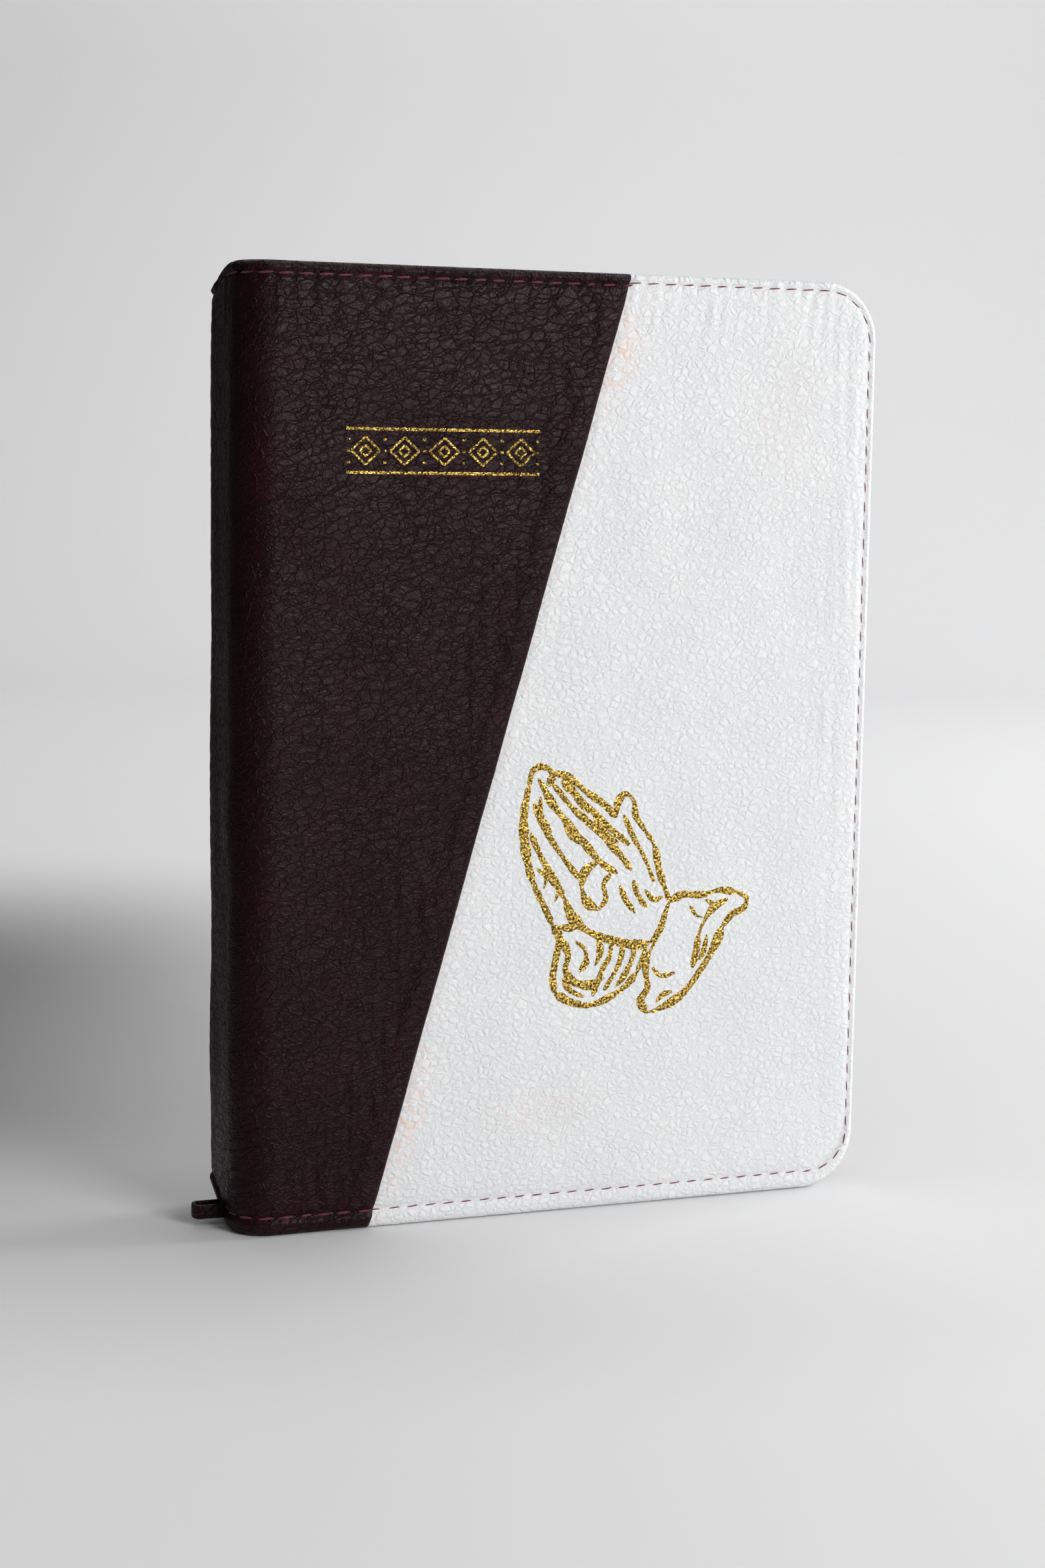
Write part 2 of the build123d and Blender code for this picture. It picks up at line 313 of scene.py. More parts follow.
@dataclass(frozen=True)
class LeatherFinish:
    """Pebbled leather with creases, on the piece's own flat coordinates, with painted shade in its grain
    valleys and folds.
    """

    name: str
    ground: Colour
    worn: Colour
    # Darker colour for the grain's valleys and the long folds: painted shade.
    valley: Colour
    stain: Colour
    roughness: float
    gloss: float
    cell_width: float
    cell_height: float
    crease: float
    grain_depth: float
    valley_width: float
    stained: float = 0.0

    def material(self) -> bpy.types.Material:
        """Builds the leather's nodes."""
        sheet = Surface(self.name, follows=True)
        wide = (1 / self.cell_width, 1.0, 1 / self.cell_height)
        grain = sheet.cells(sheet.turned(wide, 0.12, 1.6))
        small = sheet.cells(sheet.turned((0.9, 1.0, 1.25), 0.5, 0.7))
        long_folds = sheet.cells(sheet.turned((0.17, 1.0, 0.5), 0.3, 3.0))
        pores = sheet.noise(5.0, 2.0)
        puffy = grain.ramp(0.0, self.valley_width)
        folded = 1.0 - long_folds.ramp(0.0, 0.045)
        relief = puffy * 0.55 + small.ramp(0.0, 0.16) * 0.16 - folded * self.crease + pores * 0.02
        mottle = sheet.noise(0.09, 4.0)
        base = sheet.mix(mottle.ramp(0.3, 0.72), self.ground, self.worn)
        # Painted shade: the colour darkens towards the valley colour between the pebbles and along the
        # long folds.
        shaded_in_valleys = sheet.mix((1.0 - puffy) * 0.34 + folded * self.crease * 0.8, base, self.valley)
        blush = sheet.value("ShaderNodeAttribute", {"attribute_name": "stain"}, {}, "Fac")
        spots = sheet.noise(0.5, 3.0).ramp(0.38, 0.75)
        coloured = sheet.mix(blush * spots * self.stained, shaded_in_valleys, self.stain)
        rough = self.roughness + mottle * 0.1 + (1.0 - puffy) * 0.16 + folded * 0.08
        return sheet.finish(
            relief, self.grain_depth, Base_Color=coloured, Roughness=rough,
            Specular_IOR_Level=self.gloss,
        )


@dataclass(frozen=True)
class FoilFinish:
    """Metal foil pressed over the grain, with painted glints and painted shade: bright on its raised
    specks, dark and dull in the low places.
    """

    name: str = "gold_foil"
    bright: Colour = (0.80, 0.55, 0.14, 1.0)
    dull: Colour = (0.12, 0.066, 0.012, 1.0)

    def material(self) -> bpy.types.Material:
        """Builds the foil's nodes."""
        sheet = Surface(self.name, follows=True)
        ripple = sheet.cells(sheet.turned((0.75, 1.0, 1.1), 0.4, 0.9))
        speck = sheet.noise(2.4, 3.0)
        # Painted glints and painted shade: the specks that raise the bump turn the colour bright on top
        # and dark dull gold low down.
        colour = sheet.mix(speck.ramp(0.40, 0.62), self.dull, self.bright)
        return sheet.finish(
            ripple.ramp(0.0, 0.3) * 0.6 + speck * 0.8, 0.3, Base_Color=colour, Metallic=1.0,
            Roughness=0.2 + sheet.noise(1.2).ramp(0.4, 0.8) * 0.22,
        )


@dataclass(frozen=True)
class WovenFinish:
    """Plain weave of two sets of threads in the book's X and Z, and Y and Z."""

    name: str
    ground: Colour
    thread: Colour
    pitch: float
    depth: float
    roughness: float = 0.8

    def material(self) -> bpy.types.Material:
        """Builds the weave's nodes."""
        sheet = Surface(self.name, follows=False)
        rate = math.pi / self.pitch
        lengthwise = ((sheet.axis("X") + sheet.axis("Y")) * rate).sine()
        crosswise = (sheet.axis("Z") * rate).sine()
        over = (lengthwise * crosswise) * 0.5 + 0.5
        fuzz = sheet.noise(3.0, 3.0)
        colour = sheet.mix(over * 0.7 + fuzz * 0.3, self.ground, self.thread)
        return sheet.finish(
            over * 0.8 + fuzz * 0.2, self.depth, Base_Color=colour,
            Roughness=self.roughness + fuzz * 0.12, Sheen_Weight=0.25,
        )


@dataclass(frozen=True)
class ThreadFinish:
    """Twisted sewing thread, in two colours along a band where it changes."""

    name: str
    first: Colour
    second: Colour
    stripe: float = 0.0

    def material(self) -> bpy.types.Material:
        """Builds the thread's nodes."""
        sheet = Surface(self.name, follows=False)
        twist = ((sheet.axis("X") + sheet.axis("Z") * 1.7 + sheet.axis("Y")) * 16.0).sine() * 0.5 + 0.5
        fuzz = sheet.noise(2.2, 2.0)
        share = fuzz.ramp(0.3, 0.75)
        if self.stripe:
            share = (sheet.axis("Y") * (math.pi / self.stripe)).sine().ramp(-0.1, 0.1)
        colour = sheet.mix(share, self.first, self.second)
        return sheet.finish(
            twist, 0.06, Base_Color=colour, Roughness=0.55 + fuzz * 0.2, Sheen_Weight=0.2,
        )


@dataclass(frozen=True)
class PaperFinish:
    """Thin paper with faint fibres, and fine leaf lines where it is seen edge on."""

    name: str
    lined: float
    page: Colour = (0.83, 0.78, 0.66, 1.0)
    edge: Colour = (0.60, 0.52, 0.39, 1.0)

    def material(self) -> bpy.types.Material:
        """Builds the paper's nodes."""
        sheet = Surface(self.name, follows=False)
        lines = sheet.noise(1.0, 2.0, sheet.turned((0.02, 9.0, 0.02)))
        fibre = sheet.noise(1.4, 4.0)
        shade = lines.ramp(0.3, 0.7) * self.lined
        colour = sheet.mix(shade + fibre * 0.1, self.page, self.edge)
        return sheet.finish(
            shade * 0.7 + fibre * 0.3, 0.05, Base_Color=colour, Roughness=0.72 + fibre * 0.15,
        )


@dataclass(frozen=True)
class HardFinish:
    """A hard material with fine speckle and scuffs: board, moulded coil or plated metal."""

    name: str
    ground: Colour
    worn: Colour
    roughness: float
    metallic: float = 0.0
    speckle: float = 1.5
    depth: float = 0.02

    def material(self) -> bpy.types.Material:
        """Builds the hard material's nodes."""
        sheet = Surface(self.name, follows=False)
        speck = sheet.noise(self.speckle, 4.0)
        cloud = sheet.noise(0.25, 2.0)
        colour = sheet.mix(speck.ramp(0.35, 0.75) * 0.6 + cloud * 0.3, self.ground, self.worn)
        return sheet.finish(
            speck, self.depth, Base_Color=colour, Metallic=self.metallic,
            Roughness=self.roughness + cloud.ramp(0.4, 0.8) * 0.15,
        )


@dataclass(frozen=True)
class RoomFinish:
    """Pale studio paint with painted shade on the spine's side of the book: a painted shadow pool on the
    floor, and dark paint past the camera's left edge.
    """

    name: str = "studio_paint"
    lit: Colour = (0.79, 0.79, 0.795, 1.0)
    # The colour of the painted shade.
    painted_shade: Colour = (0.17, 0.168, 0.165, 1.0)

    def material(self) -> bpy.types.Material:
        """Builds the paint's nodes."""
        sheet = Surface(self.name, follows=False)
        x, y = sheet.axis("X"), sheet.axis("Y")
        ahead = x * AHEAD[0] + y * AHEAD[1]
        across = x * AHEAD[1] - y * AHEAD[0]
        # Painted shadow: a dark pool on the floor left of the book, where the book's shadow from the
        # light on the right would fall.
        beside = 1.0 - across.ramp(-170.0, 0.0)
        painted_shadow_pool = beside * ahead.ramp(-100.0, 70.0) * (1.0 - ahead.ramp(200.0, 430.0)) * 0.92
        # Painted shade past the camera's left edge, on floor and wall, so that the leather reflects dark
        # there.
        painted_shade_off_view = 1.0 - (across + (ahead + 500.0) * 0.205).ramp(-150.0, 0.0)
        shade = 1.0 - (1.0 - painted_shadow_pool) * (1.0 - painted_shade_off_view)
        colour = sheet.mix(shade, self.lit, self.painted_shade)
        return sheet.finish(None, 0.0, Base_Color=colour, Roughness=0.8)


# Each leather's valley colour is painted shade for its grain valleys and folds.
WINE = LeatherFinish(
    "wine_leather", ground=(0.0105, 0.0012, 0.0020, 1), worn=(0.0175, 0.0022, 0.0036, 1),
    valley=(0.0060, 0.0010, 0.0016, 1), stain=(0.05, 0.01, 0.014, 1), roughness=0.34, gloss=0.15,
    cell_width=2.7, cell_height=1.5, crease=0.70, grain_depth=0.19, valley_width=0.11,
)
WHITE = LeatherFinish(
    "white_leather", ground=(0.77, 0.78, 0.79, 1), worn=(0.81, 0.815, 0.82, 1),
    valley=(0.66, 0.67, 0.68, 1), stain=(0.86, 0.56, 0.44, 1), roughness=0.50, gloss=0.4,
    cell_width=1.75, cell_height=1.25, crease=0.07, grain_depth=0.22, valley_width=0.34,
    stained=0.75,
)
FOIL = FoilFinish()
SEAM_THREAD = ThreadFinish("seam_thread", (0.075, 0.005, 0.014, 1), (0.19, 0.013, 0.034, 1))
PALE_THREAD = ThreadFinish("pale_side_thread", (0.15, 0.035, 0.03, 1), (0.27, 0.08, 0.06, 1))
BAND_THREAD = ThreadFinish("band_thread", (0.30, 0.02, 0.04, 1), (0.75, 0.68, 0.55, 1), 0.72)
LINING = WovenFinish("lining_cloth", (0.020, 0.005, 0.007, 1), (0.060, 0.014, 0.019, 1), 0.35, 0.05)
MULL = WovenFinish("open_gauze", (0.42, 0.38, 0.30, 1), (0.80, 0.76, 0.66, 1), 0.8, 0.12)
TAPE = WovenFinish("zip_tape_weave", (0.013, 0.003, 0.004, 1), (0.05, 0.011, 0.015, 1), 0.45, 0.09)
PAPER = PaperFinish("page_paper", 0.0)
BOUND_PAPER = PaperFinish("bound_paper", 0.7)
BOARD = HardFinish("grey_board", (0.28, 0.25, 0.21, 1), (0.45, 0.41, 0.35, 1), 0.85, 0.0, 2.0)
COIL = HardFinish("coil_nylon", (0.022, 0.004, 0.006, 1), (0.045, 0.010, 0.013, 1), 0.36)
BRASS = HardFinish("plated_brass", (0.72, 0.55, 0.27, 1), (0.60, 0.43, 0.19, 1), 0.2, 1.0, 0.9)
ROOM_PAINT = RoomFinish()


class Paints:
    """Makes each finish's material once."""

    def __init__(self) -> None:
        """Starts with nothing made."""
        self.made: dict[str, bpy.types.Material] = {}

    def of(self, finish: Any) -> bpy.types.Material:
        """The material of a finish."""
        if finish.name not in self.made:
            self.made[finish.name] = finish.material()
        return self.made[finish.name]


PAINTS = Paints()


# ---- meshes


def put_mesh(name: str, points: Array, faces: list, finish: Any, **fields: Array) -> bpy.types.Object:
    """Makes a smooth-shaded piece at the origin.

    Args:
        name: The piece's name.
        points: One row of X, Y, Z for each point, in millimetres.
        faces: Rows of point numbers.
        finish: The finish that dresses it.
        **fields: Numbers or vectors for each point, kept as attributes.

    Returns:
        The new object, with closed surfaces facing out.
    """
    mesh = bpy.data.meshes.new(name)
    mesh.from_pydata((np.asarray(points) * MM).tolist(), [], faces)
    for label, field in fields.items():
        kind, key = ("FLOAT_VECTOR", "vector") if field.ndim == 2 else ("FLOAT", "value")
        layer = mesh.attributes.new(label, kind, "POINT")
        layer.data.foreach_set(key, field.astype(np.float32).ravel())
    shell = bmesh.new()
    shell.from_mesh(mesh)
    bmesh.ops.recalc_face_normals(shell, faces=shell.faces)
    shell.to_mesh(mesh)
    shell.free()
    mesh.shade_smooth()
    mesh.set_sharp_from_angle(angle=math.radians(50))
    mesh.materials.append(PAINTS.of(finish))
    piece = bpy.data.objects.new(name, mesh)
    bpy.context.scene.collection.objects.link(piece)
    log.info("%s: %d faces", name, len(faces))
    return piece


def grid_faces(rows: int, columns: int, start: int = 0) -> list[tuple[int, int, int, int]]:
    """The quads of a grid of points numbered row by row."""
    corner = start + (np.arange(rows - 1)[:, None] * columns + np.arange(columns - 1)).ravel()
    return np.stack([corner, corner + 1, corner + columns + 1, corner + columns], 1).tolist()


def closed_tube(rings: Array, start: int = 0) -> list:
    """The faces of a tube whose rings are closed and whose ends are capped."""
    turns, around = rings.shape[:2]
    faces = []
    for turn in range(turns - 1):
        for side in range(around):
            after = (side + 1) % around
            low, high = start + turn * around, start + (turn + 1) * around
            faces.append((low + side, low + after, high + after, high + side))
    faces.append(tuple(range(start + around - 1, start - 1, -1)))
    faces.append(tuple(range(start + (turns - 1) * around, start + turns * around)))
    return faces


class Recipe(NodeSheet):
    """A Geometry Nodes tree with named inputs, turned into a plain mesh."""

    def __init__(self, name: str, inputs: dict[str, str]) -> None:
        """Starts a tree.

        Args:
            name: The tree's name.
            inputs: The socket type of each named input.
        """
        super().__init__(bpy.data.node_groups.new(name, "GeometryNodeTree"))
        face = self.tree.interface
        face.new_socket("Geometry", in_out="OUTPUT", socket_type="NodeSocketGeometry")
        face.new_socket("Geometry", in_out="INPUT", socket_type="NodeSocketGeometry")
        self.keys = {}
        for label, kind in inputs.items():
            self.keys[label] = face.new_socket(label, in_out="INPUT", socket_type=kind).identifier
        paint = face.new_socket("Finish", in_out="INPUT", socket_type="NodeSocketMaterial")
        self.keys["Finish"] = paint.identifier
        self.given = self.add("NodeGroupInput").outputs

    def number(self, label: str) -> Value:
        """One of the named inputs."""
        return Value(self, self.given[label])

    def shape(self, kind: str, inputs: dict, settings: dict | None = None) -> Any:
        """Adds a geometry node and returns its first output."""
        return self.add(f"GeometryNode{kind}", settings, inputs).outputs[0]

    def vector(self, x: Any = 0.0, y: Any = 0.0, z: Any = 0.0) -> Any:
        """Joins three numbers or values into a vector."""
        return self.add("ShaderNodeCombineXYZ", {}, {0: x, 1: y, 2: z}).outputs[0]

    def end(self, geometry: Any) -> None:
        """Realizes a geometry, dresses it and ends the tree with it."""
        real = self.shape("RealizeInstances", {0: geometry})
        soft = self.shape("SetShadeSmooth", {0: real})
        done = self.shape("SetMaterial", {"Geometry": soft, "Material": self.given["Finish"]})
        self.add("NodeGroupOutput", {}, {0: done})

    def cook(self, piece: bpy.types.Object, finish: Any, **values: float) -> bpy.types.Object:
        """Runs the tree on a piece and keeps the result as its mesh.

        Args:
            piece: The object whose mesh the tree starts from.
            finish: The finish for what the tree makes.
            **values: The named inputs.

        Returns:
            The same object, with the tree's mesh and no modifier.
        """
        modifier = piece.modifiers.new(self.tree.name, "NODES")
        modifier.node_group = self.tree
        modifier[self.keys["Finish"]] = PAINTS.of(finish)
        for label, given in values.items():
            modifier[self.keys[label]] = given
        evaluated = piece.evaluated_get(bpy.context.evaluated_depsgraph_get())
        mesh = bpy.data.meshes.new_from_object(evaluated)
        piece.modifiers.remove(modifier)
        piece.data = mesh
        log.info("%s: %d faces from %s", piece.name, len(mesh.polygons), self.tree.name)
        return piece


def along_path(recipe: Recipe, thing: Any, spacing: Value) -> Any:
    """Sets a shape at even steps along the starting mesh's line.

    Args:
        recipe: The tree.
        thing: The shape's geometry, with its X along the line and its Z outward.
        spacing: The step between shapes.

    Returns:
        The instances' socket.
    """
    line = recipe.shape("MeshToCurve", {0: recipe.given["Geometry"]})
    points = recipe.shape("ResampleCurve", {"Curve": line, "Length": spacing}, {"mode": "LENGTH"})
    tangent = recipe.shape("InputTangent", {})
    outward = recipe.shape("InputNamedAttribute", {"Name": "outward"}, {"data_type": "FLOAT_VECTOR"})
    first = recipe.add("FunctionNodeAlignRotationToVector", {"axis": "X"}, {"Vector": tangent})
    both = {"Rotation": first.outputs[0], "Vector": outward}
    second = recipe.add("FunctionNodeAlignRotationToVector", {"axis": "Z", "pivot_axis": "X"}, both)
    spots = {"Points": points, "Instance": thing, "Rotation": second.outputs[0]}
    return recipe.shape("InstanceOnPoints", spots)


def stitch_recipe() -> Recipe:
    """A tree that sews a line: lens-shaped stitches that lean a little to the line."""
    sizes = ("Pitch", "Length", "Thickness", "Lean")
    recipe = Recipe("sewn_line", {label: "NodeSocketFloat" for label in sizes})
    lens = recipe.shape("MeshUVSphere", {"Segments": 8, "Rings": 6, "Radius": 1.0})
    thickness = recipe.number("Thickness")
    scale = recipe.vector(recipe.number("Length") * 0.5, thickness, thickness)
    turn = recipe.vector(z=recipe.number("Lean"))
    stitch = recipe.shape("Transform", {"Geometry": lens, "Scale": scale, "Rotation": turn})
    recipe.end(along_path(recipe, stitch, recipe.number("Pitch")))
    return recipe


def winding_recipe() -> Recipe:
    """A tree that winds wire or thread round a line, one ring at each step."""
    sizes = ("Pitch", "Width", "Height", "Wire", "Lean")
    recipe = Recipe("wound_line", {label: "NodeSocketFloat" for label in sizes})
    round_line = recipe.shape("CurvePrimitiveCircle", {"Resolution": 12, "Radius": 0.5})
    both_sides = recipe.number("Wire") * 2.0
    high, wide = recipe.number("Height"), recipe.number("Width")
    scale = recipe.vector(high - both_sides, wide - both_sides, 1.0)
    flat = recipe.shape("Transform", {"Geometry": round_line, "Scale": scale})
    turn = recipe.vector(y=QUARTER, z=recipe.number("Lean"))
    stood = recipe.shape("Transform", {"Geometry": flat, "Rotation": turn})
    section = recipe.shape("CurvePrimitiveCircle", {"Resolution": 6, "Radius": recipe.number("Wire")})
    ring = recipe.shape("CurveToMesh", {"Curve": stood, "Profile Curve": section})
    recipe.end(along_path(recipe, ring, recipe.number("Pitch")))
    return recipe


def stack_recipe() -> Recipe:
    """A tree that stacks leaves in Y, shuffles them and draws them in to the fold."""
    sizes = ("Pitch", "Shuffle", "Fold", "Bevel", "Outside", "Thickness")
    inputs = {"Leaves": "NodeSocketInt"} | {label: "NodeSocketFloat" for label in sizes}
    recipe = Recipe("leaf_stack", inputs)
    row = {"Count": recipe.given["Leaves"], "Offset": recipe.vector(y=recipe.number("Pitch"))}
    points = recipe.shape("MeshLine", row, {"mode": "OFFSET"})
    spots = {"Points": points, "Instance": recipe.given["Geometry"]}
    leaves = recipe.shape("InstanceOnPoints", spots)
    chance = {0: (-1.0, 0.0, -1.0), 1: (1.0, 0.0, 1.0), "Seed": 7}
    draw = recipe.add("FunctionNodeRandomValue", {"data_type": "FLOAT_VECTOR"}, chance).outputs[0]
    reach = {0: draw, "Scale": recipe.number("Shuffle")}
    move = recipe.add("ShaderNodeVectorMath", {"operation": "SCALE"}, reach).outputs[0]
    stack = recipe.shape("TranslateInstances", {"Instances": leaves, "Translation": move})
    real = recipe.shape("RealizeInstances", {0: stack})
    apart = recipe.add("ShaderNodeSeparateXYZ", {}, {0: recipe.shape("InputPosition", {})}).outputs
    across, deep = Value(recipe, apart[0]), Value(recipe, apart[1]).size()
    share = (recipe.number("Outside") - deep) / recipe.number("Thickness")
    away = (across - recipe.number("Fold")) / (recipe.number("Bevel") * 2.0)
    drawn_in = share * recipe.number("Bevel") * (1.0 - away.ramp(0.0, 1.0))
    recipe.end(recipe.shape("SetPosition", {0: real, "Offset": recipe.vector(drawn_in)}))
    return recipe


def path_piece(name: str, points: Array, outward: Array) -> bpy.types.Object:
    """A bare line of points in millimetres, each with the direction away from the book."""
    mesh = bpy.data.meshes.new(name)
    edges = [(i, i + 1) for i in range(len(points) - 1)]
    mesh.from_pydata((points * MM).tolist(), edges, [])
    layer = mesh.attributes.new("outward", "FLOAT_VECTOR", "POINT")
    layer.data.foreach_set("vector", outward.astype(np.float32).ravel())
    piece = bpy.data.objects.new(name, mesh)
    bpy.context.scene.collection.objects.link(piece)
    return piece


# ---- the book's frame


class Panel(Enum):
    """The three skins of leather."""

    WINE = "wine"
    WHITE = "white"
    BACK = "back"


def node_box(node: str) -> tuple[Array, Array]:
    """A CAD node's lowest and highest corner in millimetres."""
    low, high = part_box(node)
    return np.array(low) / MM, np.array(high) / MM


@dataclass
class BookFrame:
    """The book's places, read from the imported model."""

    spine_corner: float = 7.0
    cover_corner: float = 11.0
    spine_sweep: tuple[float, float] = (-9.0, 5.0)
    back_sweep: tuple[float, float] = (12.0, 26.0)
    tape_past_coil: float = 0.25

    def __post_init__(self) -> None:
        """Reads the boxes of the CAD nodes."""
        spine_low, spine_high = node_box("spine_leather")
        back_low, back_high = node_box("back_leather")
        _, wine_high = node_box("front_leather_wine")
        white_low, _ = node_box("front_leather_white")
        tape_low, _ = node_box("zip_tape_back")
        coil_low, coil_high = node_box("zip_coil_back")
        self.spine_x, self.outer_y = float(spine_low[0]), float(back_high[1])
        self.hinge_x, self.fore_x = float(back_low[0]), float(back_high[0])
        self.height = float(back_high[2])
        self.spine_foot, self.spine_head = float(spine_low[2]), float(spine_high[2])
        self.rim_y = float(back_low[1])
        self.seam_head_x, self.seam_tail_x = float(wine_high[0]), float(white_low[0])
        self.coil_start_x = float(coil_low[0])
        self.coil_y = float(coil_low[1] + coil_high[1]) / 2
        self.coil_width = float(coil_high[1] - coil_low[1])
        self.zip_inset = float(tape_low[2] + self.tape_past_coil)
        self.flat = self.outer_y - self.spine_corner
        self.bend = self.flat + QUARTER * self.spine_corner

    def around(self, x: Any) -> Any:
        """The distance s of a place x on a cover's flat face."""
        return self.bend + x - self.spine_x - self.spine_corner

    def seam(self, z: Array) -> Array:
        """The distance s of the seam between wine and white at height z."""
        slope = (self.seam_head_x - self.seam_tail_x) / self.height
        return self.around(self.seam_tail_x + slope * z)

    def sweep(self, s: Array, panel: Panel) -> Array:
        """How far an edge has gone from the cover's height (0) to the spine's (1)."""
        if panel is Panel.BACK:
            return (1 - smooth(-s, *self.spine_sweep)) * (1 - smooth(s, *self.back_sweep))
        return 1 - smooth(s, *self.spine_sweep)

    def foot(self, s: Array, panel: Panel) -> Array:
        """The height of the leather's tail edge, which lifts round the spine."""
        return self.spine_foot * self.sweep(s, panel)

    def head(self, s: Array, panel: Panel) -> Array:
        """The height of the leather's head edge, which drops round the spine."""
        return self.height - (self.height - self.spine_head) * self.sweep(s, panel)

    def wrap(self, s: Array) -> tuple[Array, Array, Array, Array]:
        """The front half of the book's outline seen from above.

        Args:
            s: Distances from the middle of the spine.

        Returns:
            X and Y of the outline and X and Y of the direction away from the book.
        """
        turn = np.clip((s - self.flat) / self.spine_corner, 0, QUARTER)
        x = self.spine_x + self.spine_corner * (1 - np.cos(turn)) + np.maximum(s - self.bend, 0)
        y = -np.minimum(s, self.flat) - self.spine_corner * np.sin(turn)
        return x, y, -np.cos(turn), -np.sin(turn)

    def corner_head(self, x: Array) -> Array:
        """How far a cover's rounded fore-edge corner lowers its edge at x."""
        past = np.clip(x - (self.fore_x - self.cover_corner), 0, self.cover_corner)
        return self.cover_corner - np.sqrt(self.cover_corner**2 - past**2)


# ---- leather covers


@dataclass
class LeatherRelief:
    """The leather's height over the flat cover, shared by skin, stitches and foil."""

    book: BookFrame
    roll: float = 1.6
    head_inset_wine: float = 2.2
    head_inset_white: float = 1.7
    fore_inset: float = 1.6
    tail_inset: float = 3.5
    groove: float = 0.34
    groove_width: float = 0.55
    drawn_down: float = 0.2
    drawn_width: float = 2.0
    puff: float = 0.24
    puff_place: float = 1.15
    puff_width: float = 0.75
    pucker: float = 0.25
    stitch_pitch: float = 3.5
    gather_pitch: float = 2.7
    fold_width: float = 4.4
    fold_height: float = 0.36
    round_over: float = 0.42
    round_width: float = 0.75
    seam_crease: float = 0.10
    waviness: float = 0.17
    wave_length: float = 26.0
    grain: float = 0.07
    cell_width: float = 4.8
    cell_height: float = 3.6

    def inside(self, s: Array, z: Array, panel: Panel) -> Array:
        """How far a point lies inside the leather's outline."""
        book = self.book
        edge = np.minimum(book.head(s, panel) - z, z - book.foot(s, panel))
        if panel is Panel.WINE:
            return edge
        x = book.wrap(s)[0]
        edge = np.minimum(edge, book.fore_x - x)
        middle_x = book.fore_x - book.cover_corner
        from_end = np.minimum(z, book.height - z)
        out = np.hypot(np.maximum(x - middle_x, 0), np.maximum(book.cover_corner - from_end, 0))
        in_corner = (x > middle_x) & (from_end < book.cover_corner)
        return np.where(in_corner, book.cover_corner - out, edge)

    def inset(self, s: Array, z: Array, panel: Panel) -> Array:
        """How far inside the outline the nearest line of stitches runs."""
        middle = self.book.height / 2
        if panel is Panel.WINE:
            return np.where(z > middle, self.head_inset_wine, self.tail_inset)
        head = self.head_inset_white if panel is Panel.WHITE else self.head_inset_wine
        near_fore = smooth(self.book.wrap(s)[0], self.book.fore_x - 14.0, self.book.fore_x - 3.0)
        upper = head + (self.fore_inset - head) * near_fore
        lower = self.fore_inset + (self.tail_inset - self.fore_inset) * (1 - smooth(z, 4.0, 15.0))
        return np.where(z > middle, upper, lower)

    def height(self, s: Array, z: Array, panel: Panel) -> Array:
        """The leather's relief, outward from the smooth outline.

        Args:
            s: Distances round the book from the middle of the spine.
            z: Heights.
            panel: Which skin the points are on.

        Returns:
            The height in millimetres, with the rolled edge included.
        """
        book = self.book
        seed = {Panel.WINE: 0, Panel.WHITE: 30, Panel.BACK: 60}[panel]
        pale = panel is Panel.WHITE
        inside = self.inside(s, z, panel)
        from_line = inside - self.inset(s, z, panel)
        top = smooth(z, book.height / 2 - 5, book.height / 2 + 5)
        rolled = np.clip(self.roll - inside, 0, self.roll)
        drop = self.roll - np.sqrt(self.roll**2 - rolled**2)
        sewn = -self.groove * bell(from_line, self.groove_width)
        sewn = sewn - self.drawn_down * bell(from_line, self.drawn_width)
        puffed = self.puff * bell(from_line + self.puff_place, self.puff_width)
        puffed = puffed * (0.45 if pale else 1.0)
        wander = 1.2 * waves(s, z, 9.0, seed + 1)
        beat = np.sin(2 * math.pi * s / self.stitch_pitch + wander)
        uneven = 0.75 + 0.5 * waves(s, z * 0.2, 11.0, seed + 2)
        gathers = waves(s + 0.12 * from_line, z * 0.1, self.gather_pitch, seed + 3)
        near = bell(from_line, 1.6)
        below = smooth(from_line, 0.2, 2.0) * (1 - smooth(from_line, 5.0, 13.0))
        joined = smooth(s, 0.0, 5.0)
        strength = (0.35 + 0.65 * top) * (0.6 if pale else 1.0) * joined
        puckered = self.pucker * uneven * strength * (0.7 * beat * near + 0.62 * gathers * below)
        slow = self.waviness * (0.5 if pale else 1.0) * waves(s, z, self.wave_length, seed + 4)
        shaken = s / self.cell_width + 0.25 * waves(s, z, 9.0, seed + 5)
        cell = pebbles(shaken, z / self.cell_height, seed + 6)
        body = smooth(inside, 0.4, 3.0) * joined
        grain = self.grain * (0.3 if pale else 1.0) * cell
        total = sewn + puffed + puckered + (slow + grain) * body
        if panel is not Panel.BACK:
            total = total + self.seam_relief(s, z, panel) * smooth(inside, 0.2, 1.0)
        return total - drop

    def seam_relief(self, s: Array, z: Array, panel: Panel) -> Array:
        """The folded wine edge along the seam and the white leather tucked under it."""
        book = self.book
        lean = math.cos(math.atan((book.seam_head_x - book.seam_tail_x) / book.height))
        away = np.abs(book.seam(z) - s) * lean
        if panel is Panel.WHITE:
            return -0.16 * bell(away, 0.8) + 0.05 * bell(away - 1.6, 0.9)
        edge = self.fold_width + 0.7 * waves(s * 0, z, 30.0, 11)
        band = self.fold_height * (1 - smooth(away, edge - 1.2, edge + 1.3))
        round_over = self.round_over * np.clip(1 - away / self.round_width, 0, 1) ** 2
        inboard = smooth(away, edge - 0.5, edge + 1.5) * (1 - smooth(away, edge + 4, edge + 13))
        creases = self.seam_crease * waves(s, z * 0.16, 2.2, 12) * inboard
        return band - round_over + creases

